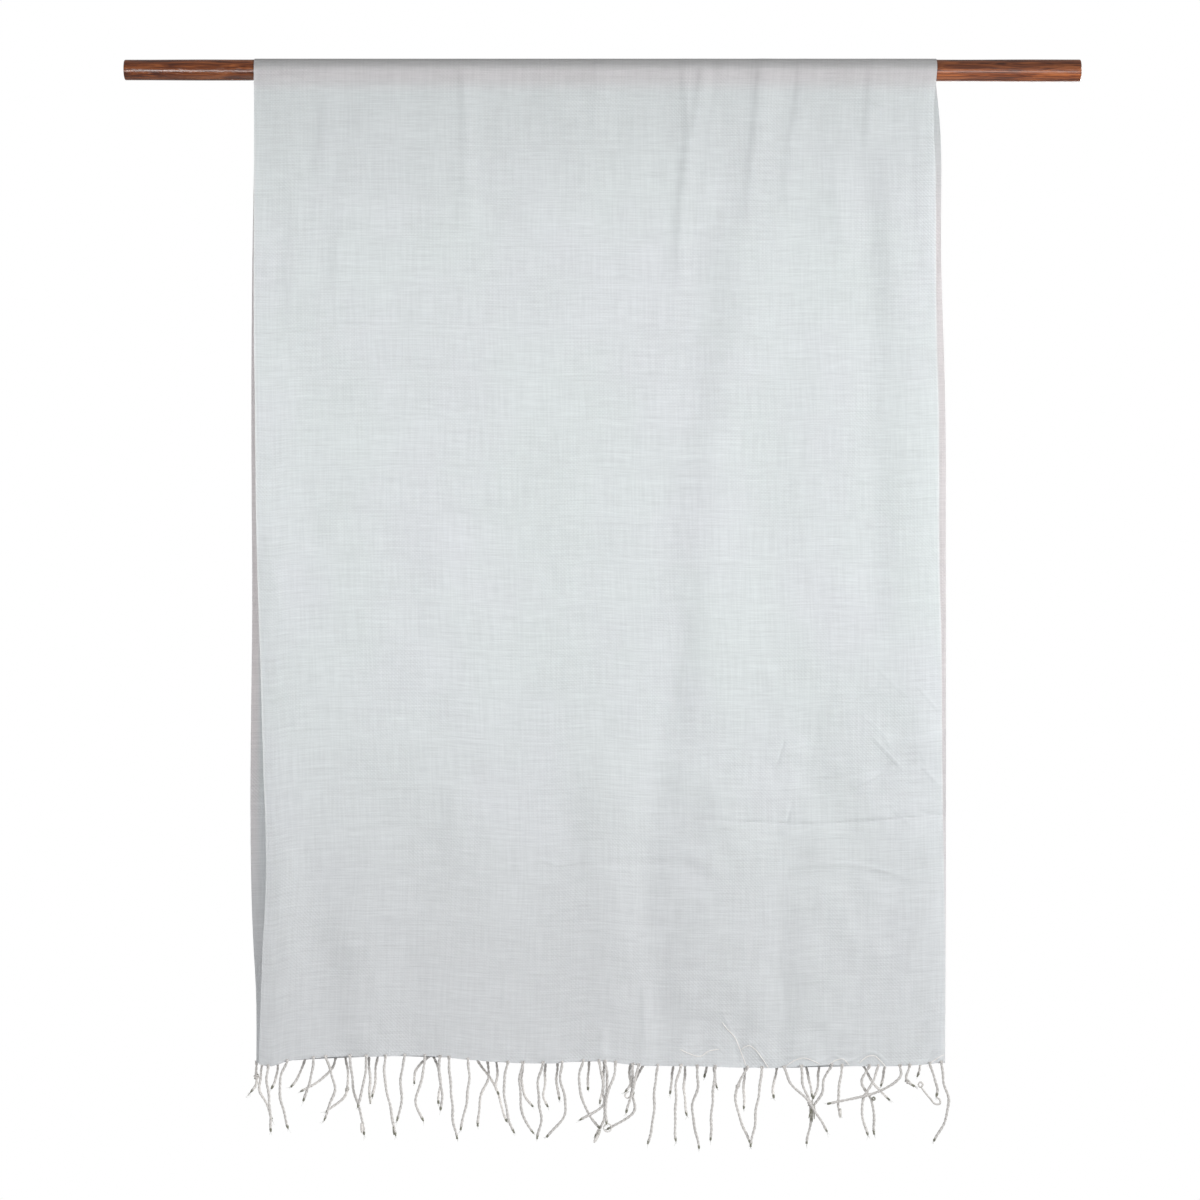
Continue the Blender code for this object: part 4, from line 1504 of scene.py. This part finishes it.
@dataclass
class Fringe:
    """The twisted strands along one hem, each of two plies, with frayed and soiled tips and a few knots."""

    name: str
    fall: Fall
    cloth: ShawlCloth
    strands: tuple[Strand, ...]
    knots: tuple[Knot, ...]
    tufts: tuple[Tuft, ...]
    loops: tuple[Loop, ...]
    age: float
    seed: int
    shade_lifts_differ_by: float = 0.16
    lane_step: float = 0.0032
    lane_from: float = 0.3
    ply: float = 0.00100
    twist_radius: float = 0.00040
    twist_length: float = 0.0095
    ring_step: float = 0.0009
    fewest_rings: int = 8
    ply_sides: int = 6
    overlap: float = 0.0020
    spread: float = 0.0010
    spread_fade: float = 0.0020
    loose_from: float = 0.012
    sway_x: tuple[float, float] = (0.00042, 0.0042)
    sway_y: tuple[float, float] = (0.0007, 0.0095)
    tip_taper: float = 0.004
    darkened: float = 0.0050
    frays: int = 4
    fray_length: float = 0.0045
    fray_radius: float = 0.00016
    fray_points: int = 5
    loop_taper: float = 0.003
    knot_turns: float = 2.6
    knot_length: float = 0.0030
    knot_points: int = 30
    knot_soil: float = 0.40
    finish: TwistedCord = field(default_factory=TwistedCord)

    def __post_init__(self) -> None:
        """Starts the lists that the strands add to."""
        self.random = np.random.default_rng(self.seed)
        self.points: list[np.ndarray] = []
        self.faces: list[tuple[int, ...]] = []
        self.uvs: list[np.ndarray] = []
        self.soil: list[np.ndarray] = []
        self.ages: list[np.ndarray] = []
        self.count = 0

    def tube(self, path: np.ndarray, radii: np.ndarray, sides: int, soil: np.ndarray, age: float) -> None:
        """Adds a closed tube along a path.

        Args:
            path: The points down its middle.
            radii: Its radius at each point.
            sides: How many sides it has.
            soil: How soiled it is at each point, from 0 to 1.
            age: The share of painted light for yarn in shade, from 0 to 1, or -1 where it lies on the cloth.
        """
        across, up = sides_along(path)
        angles = np.arange(sides) * math.tau / sides
        turned = across[:, None] * np.cos(angles)[None, :, None] + up[:, None] * np.sin(angles)[None, :, None]
        rings = path[:, None] + radii[:, None, None] * turned
        base, last = self.count, self.count + (len(path) - 1) * sides
        for ring in range(base, last, sides):
            for k in range(sides):
                a, b = ring + k, ring + (k + 1) % sides
                self.faces.append((a, a + sides, b + sides, b))
        self.faces.append(tuple(range(base, base + sides)))
        self.faces.append(tuple(reversed(range(last, last + sides))))
        around = np.broadcast_to(angles[None, :] * self.ply, (len(path), sides))
        down = np.broadcast_to(run_along(path)[:, None] + base * MM, (len(path), sides))
        self.points.append(rings.reshape(-1, 3))
        self.uvs.append(np.stack([around, down], axis=2).reshape(-1, 2))
        self.soil.append(np.repeat(soil, sides))
        self.ages.append(np.full(len(path) * sides, age))
        self.count = last + sides

    def even_places(self, length: float) -> np.ndarray:
        """Places along a path of some length, about a ring's step apart."""
        return np.linspace(0.0, length, max(self.fewest_rings, int(length / self.ring_step)))

    def wall_y(self, x: np.ndarray, z: np.ndarray) -> np.ndarray:
        """The middle of the cloth's wall at x and z, or at the hem below it.

        Args:
            x: Each point's place across, in metres.
            z: Each point's height, in metres.

        Returns:
            The wall's y at each point, in metres.
        """
        z = np.maximum(z, -self.fall.hem_at(x))
        depth = self.fall.belly_at(z, self.cloth.seat(x)) + self.cloth.lift(self.fall, x, z)
        return self.fall.side.value * depth

    def path(self, strand: Strand) -> np.ndarray:
        """Points down the middle of a strand, from just above the hem to its tip.

        Args:
            strand: The strand.

        Returns:
            The points, about a ring's step apart.
        """
        root = strand.root * MM
        hem_z = -float(self.fall.hem_at(root))
        wall = float(self.wall_y(np.array([root]), np.array([hem_z]))[0])
        swings = np.array([0.0, strand.quarter, strand.half, strand.later, strand.tip]) * MM
        drop = strand.drop * MM
        steps = np.arange(-self.overlap, drop, self.ring_step * 0.55)
        side = self.fall.side.value
        share = np.clip(steps / drop, 0.0, 1.0)
        swing = smooth_line(share, np.linspace(0.0, 1.0, 5), swings)
        lane = side * strand.lane * self.lane_step * smooth_step(share / self.lane_from)
        in_front = 1.0 - smooth_step((steps + 0.0012) / 0.0028)
        proud = side * (self.cloth.thickness / 2 + 0.7 * self.ply) * in_front
        phases = self.random.uniform(0, math.tau, 2)
        loose = smooth_step(steps / self.loose_from)
        sway_x, sway_y = (
            size * np.sin(steps / length + phase) * loose
            for (size, length), phase in zip((self.sway_x, self.sway_y), phases)
        )
        dense = np.stack([root + swing + sway_x, wall + lane + proud + sway_y, hem_z - steps], axis=1)
        run = run_along(dense)
        return read_path(self.even_places(run[-1]), run, dense)

    def plies(self, path: np.ndarray, age: float) -> None:
        """Adds the two twisted plies of a strand, which part a little at its root.

        Args:
            path: The points down the middle of the strand.
            age: The share of painted light for yarn in shade.
        """
        run = run_along(path)
        across, up = sides_along(path)
        start = self.random.uniform(0, math.tau)
        uneven = 0.10 * np.sin(run / 0.0061 + start) + 0.06 * np.sin(run / 0.0023 + 2 * start)
        to_tip = run[-1] - run
        thick = self.ply * (1.0 + uneven) * (0.72 + 0.28 * smooth_step(to_tip / self.tip_taper))
        soil = 1.0 - smooth_step((to_tip - 0.4 * self.darkened) / (0.6 * self.darkened))
        parting = self.spread * np.exp(-run / self.spread_fade)
        turn = start + math.tau * run / self.twist_length
        for half, way in ((0.0, 1.0), (math.pi, -1.0)):
            sideways = self.twist_radius * np.cos(turn + half) + parting * way
            inwards = self.twist_radius * np.sin(turn + half)
            line = path + across * sideways[:, None] + up * inwards[:, None]
            self.tube(line, thick, self.ply_sides, soil, age)

    def fray(self, path: np.ndarray, age: float, fibres: int, reach: float, wide: float, soil: float) -> None:
        """Adds the fibres that splay out of a strand's tip.

        Args:
            path: The points down the middle of the strand.
            age: The share of painted light for yarn in shade.
            fibres: How many fibres there are.
            reach: How long they are at most, in metres.
            wide: How widely they splay.
            soil: How soiled they are, from 0 to 1.
        """
        tip = path[-1]
        ahead = path[-1] - path[-4]
        ahead /= np.linalg.norm(ahead)
        shares = np.linspace(0.0, 1.0, self.fray_points)
        radii = self.fray_radius * (1.0 - 0.6 * shares)
        for _ in range(fibres):
            splay = self.random.normal(0.0, wide, 3)
            length = reach * self.random.uniform(0.5, 1.0)
            onwards, aside = np.outer(shares * length, ahead), np.outer(shares**2 * length, splay)
            line = tip - ahead * 0.001 + onwards + aside
            self.tube(line, radii, 3, np.full(len(shares), soil), age)

    def loop(self, loop: Loop) -> None:
        """Adds one loose yarn that lies on the cloth or hangs beside the strands.

        Args:
            loop: The loose yarn.
        """
        points = np.array(loop.path, float) * MM
        run = run_along(points)
        places = self.even_places(run[-1])
        x, z = smooth_line(places, run, points[:, 0]), smooth_line(places, run, points[:, 1])
        out = self.cloth.thickness / 2 + loop.proud * MM
        line = np.stack([x, self.wall_y(x, z) + self.fall.side.value * out, z], axis=1)
        to_end = np.minimum(places, run[-1] - places)
        radii = loop.thick * MM / 2 * (0.6 + 0.4 * smooth_step(to_end / self.loop_taper))
        self.tube(line, radii, self.ply_sides, np.full(len(places), loop.soil), loop.age)

    def knot(self, knot: Knot, path: np.ndarray, age: float) -> None:
        """Adds the turns of a knot round a strand.

        Args:
            knot: The knot.
            path: The points down the middle of the strand.
            age: The share of painted light for yarn in shade.
        """
        shares = np.linspace(0.0, 1.0, self.knot_points)
        places = knot.down * MM + self.overlap + (shares - 0.5) * self.knot_length
        middle = read_path(places, run_along(path), path)
        swell = (knot.width * MM / 2 - self.ply) * (0.75 + 0.25 * np.sin(shares * math.pi))
        angle = shares * self.knot_turns * math.tau
        round_it = [swell * np.cos(angle), swell * np.sin(angle), 0.0006 * np.sin(angle * 1.5)]
        line = middle + np.stack(round_it, axis=1)
        thick = np.full(len(shares), self.ply * 0.9)
        self.tube(line, thick, self.ply_sides, np.full(len(shares), self.knot_soil), age)

    def build(self) -> Piece:
        """Twists every strand of the hem and joins them in one piece.

        Returns:
            The fringe, without its material.
        """
        paths = {}
        for strand in self.strands:
            differs = self.random.uniform(-self.shade_lifts_differ_by, self.shade_lifts_differ_by)
            age = float(np.clip(self.age + differs, 0.0, 1.0))
            path = self.path(strand)
            paths[strand.root] = (path, age)
            self.plies(path, age)
            self.fray(path, age, self.frays, self.fray_length, wide=0.34, soil=0.9)
        for knot in self.knots:
            self.knot(knot, *paths[knot.root])
        for tuft in self.tufts:
            self.fray(*paths[tuft.root], tuft.fibres, tuft.length * MM, wide=0.16, soil=0.55)
        for loop in self.loops:
            self.loop(loop)
        fringe = mesh_object(self.name, np.concatenate(self.points), self.faces)
        give_uv(fringe, np.concatenate(self.uvs))
        for name, values in (("soil", self.soil), ("age", self.ages)):
            attribute = fringe.data.attributes.new(name, "FLOAT", "POINT")
            attribute.data.foreach_set("value", np.concatenate(values).astype(np.float32))
        return fringe

    def dress(self, fringe: Piece) -> None:
        """Gives the strands their yarn."""
        fringe.data.materials.append(self.finish.material())


@dataclass(frozen=True)
class SoftLight:
    """One soft light: its place and aim, its width and height in metres, its power and its colour."""

    name: str
    place: tuple[float, float, float]
    aim: tuple[float, float, float]
    width: float
    height: float
    power: float
    colour: Colour = (1.0, 1.0, 1.0)

    def build(self) -> None:
        """Adds the light, which the camera doesn't see."""
        data = bpy.data.lights.new(self.name, "AREA")
        data.shape = "RECTANGLE"
        data.size = self.width
        data.size_y = self.height
        data.energy = self.power
        data.color = self.colour
        light = bpy.data.objects.new(self.name, data)
        light.location = self.place
        light.rotation_euler = (Vector(self.aim) - Vector(self.place)).to_track_quat("-Z", "Y").to_euler()
        light.visible_camera = False
        bpy.context.scene.collection.objects.link(light)


@dataclass
class Studio:
    """A plain pale floor in a white room, soft lights at the shawl's middle height, and the camera."""

    floor_z: float = -1.32
    floor_radius: float = 1.2
    floor_rings: int = 3
    camera_place: tuple[float, float, float] = (-0.0025, -2.83, -0.529)
    lens: float = 85.0
    room_light: float = 0.30
    lights: tuple[SoftLight, ...] = (
        SoftLight("key_right", (3.8, -2.4, 0.70), (0.0, 0.0, -0.5), 1.0, 1.0, 166.0),
        SoftLight("front_bank", (-0.1, -1.1, -0.41), (-0.1, 0.0, -0.41), 2.0, 0.3, 9.3, (0.98, 0.99, 1.0)),
        SoftLight("left_fill", (-3.4, -1.5, -0.2), (0.0, 0.0, -0.5), 1.2, 1.2, 23.5),
        SoftLight("rod_glint", (-0.62, -1.1, -0.41), (-0.45, 0.0, 0.0), 0.07, 0.26, 0.42),
        SoftLight("back_key", (2.1, 2.8, 0.1), (0.0, 0.0, -0.5), 1.0, 1.0, 84.0),
        SoftLight("back_bank", (0.3, 1.9, -0.5), (0.1, 0.0, -0.5), 1.8, 0.6, 13.0),
    )
    floor: PaleFloor = field(default_factory=PaleFloor)

    def build_floor(self) -> Piece:
        """Lays the floor, a round sheet with a fine ring pattern of faces.

        Returns:
            The floor.
        """
        deselect()
        bpy.ops.mesh.primitive_circle_add(
            vertices=96, radius=self.floor_radius, fill_type="NGON", location=(0.0, 0.0, self.floor_z)
        )
        floor = bpy.context.active_object
        floor.name = "pale_floor"
        bpy.ops.object.transform_apply(location=True, rotation=True, scale=True)
        bpy.ops.object.mode_set(mode="EDIT")
        bpy.ops.mesh.select_all(action="SELECT")
        for _ in range(self.floor_rings):
            bpy.ops.mesh.inset(thickness=self.floor_radius / (self.floor_rings + 2))
        bpy.ops.object.mode_set(mode="OBJECT")
        floor.data.materials.append(self.floor.material())
        return floor

    def build_room(self) -> None:
        """Makes the room white behind the object and softer than that as a light."""
        world = bpy.data.worlds.new("white_room")
        world.use_nodes = True
        nodes, links = world.node_tree.nodes, world.node_tree.links
        seen = nodes.new("ShaderNodeLightPath")
        strength = nodes.new("ShaderNodeMapRange")
        strength.inputs["To Min"].default_value = self.room_light
        links.new(seen.outputs["Is Camera Ray"], strength.inputs["Value"])
        links.new(strength.outputs["Result"], nodes["Background"].inputs["Strength"])
        nodes["Background"].inputs["Color"].default_value = (1.0, 1.0, 1.0, 1.0)
        bpy.context.scene.world = world

    def build_camera(self) -> None:
        """Sets the camera level, square to the shawl and at its middle height."""
        data = bpy.data.cameras.new("camera")
        data.lens = self.lens
        camera = bpy.data.objects.new("camera", data)
        camera.location = self.camera_place
        camera.rotation_euler = (math.pi / 2, 0.0, 0.0)
        bpy.context.scene.collection.objects.link(camera)
        bpy.context.scene.camera = camera

    def build(self) -> Piece:
        """Sets up the room, its lights and the camera.

        Returns:
            The floor.
        """
        floor = self.build_floor()
        self.build_room()
        for light in self.lights:
            light.build()
        self.build_camera()
        bpy.context.scene.view_settings.view_transform = "Standard"
        return floor


def main() -> None:
    """Builds the rod, the cloth and its fringes in the frame, and the studio round them."""
    logging.basicConfig(level=logging.INFO, format="%(name)s: %(message)s")
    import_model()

    rod = Rod()
    rod_piece = rod.build()
    rod.dress(rod_piece)
    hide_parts("rod")
    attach(rod_piece, BODY)
    LOG.info("rod: %d faces", len(rod_piece.data.polygons))

    front = Fall(Side.FRONT, FRONT_EDGES, FRONT_HEM, FRONT_BELLY, FRONT_CREASES, FRONT_RUMPLES)
    back = Fall(Side.BACK, BACK_EDGES, BACK_HEM, BACK_BELLY, BACK_CREASES, BACK_RUMPLES)
    cloth = ShawlCloth(front, back, rod)
    cloth_piece = cloth.build()
    cloth.dress(cloth_piece)
    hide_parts("front_fall", "over_rod", "back_fall")
    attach(cloth_piece, BODY)
    LOG.info("cloth: %d faces, %.3f m from hem to hem", len(cloth_piece.data.polygons), cloth.hem_to_hem)

    front_trim = (FRONT_STRANDS, FRONT_KNOTS, FRONT_TUFTS, FRONT_LOOPS)
    back_trim = (BACK_STRANDS, BACK_KNOTS, BACK_TUFTS, ())
    # Each fringe's shade lift is its share of the yarn's painted light; the back one hangs in the front
    # fall's shade
    for fringe, node in (
        (Fringe("front_fringe", front, cloth, *front_trim, age=0.12, seed=101), "fringe_front"),
        (Fringe("back_fringe", back, cloth, *back_trim, age=0.75, seed=202), "fringe_back"),
    ):
        piece = fringe.build()
        fringe.dress(piece)
        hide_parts(node)
        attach(piece, BODY)
        LOG.info("%s: %d strands, %d faces", fringe.name, len(fringe.strands), len(piece.data.polygons))

    Studio().build()


if __name__ == "__main__":
    main()
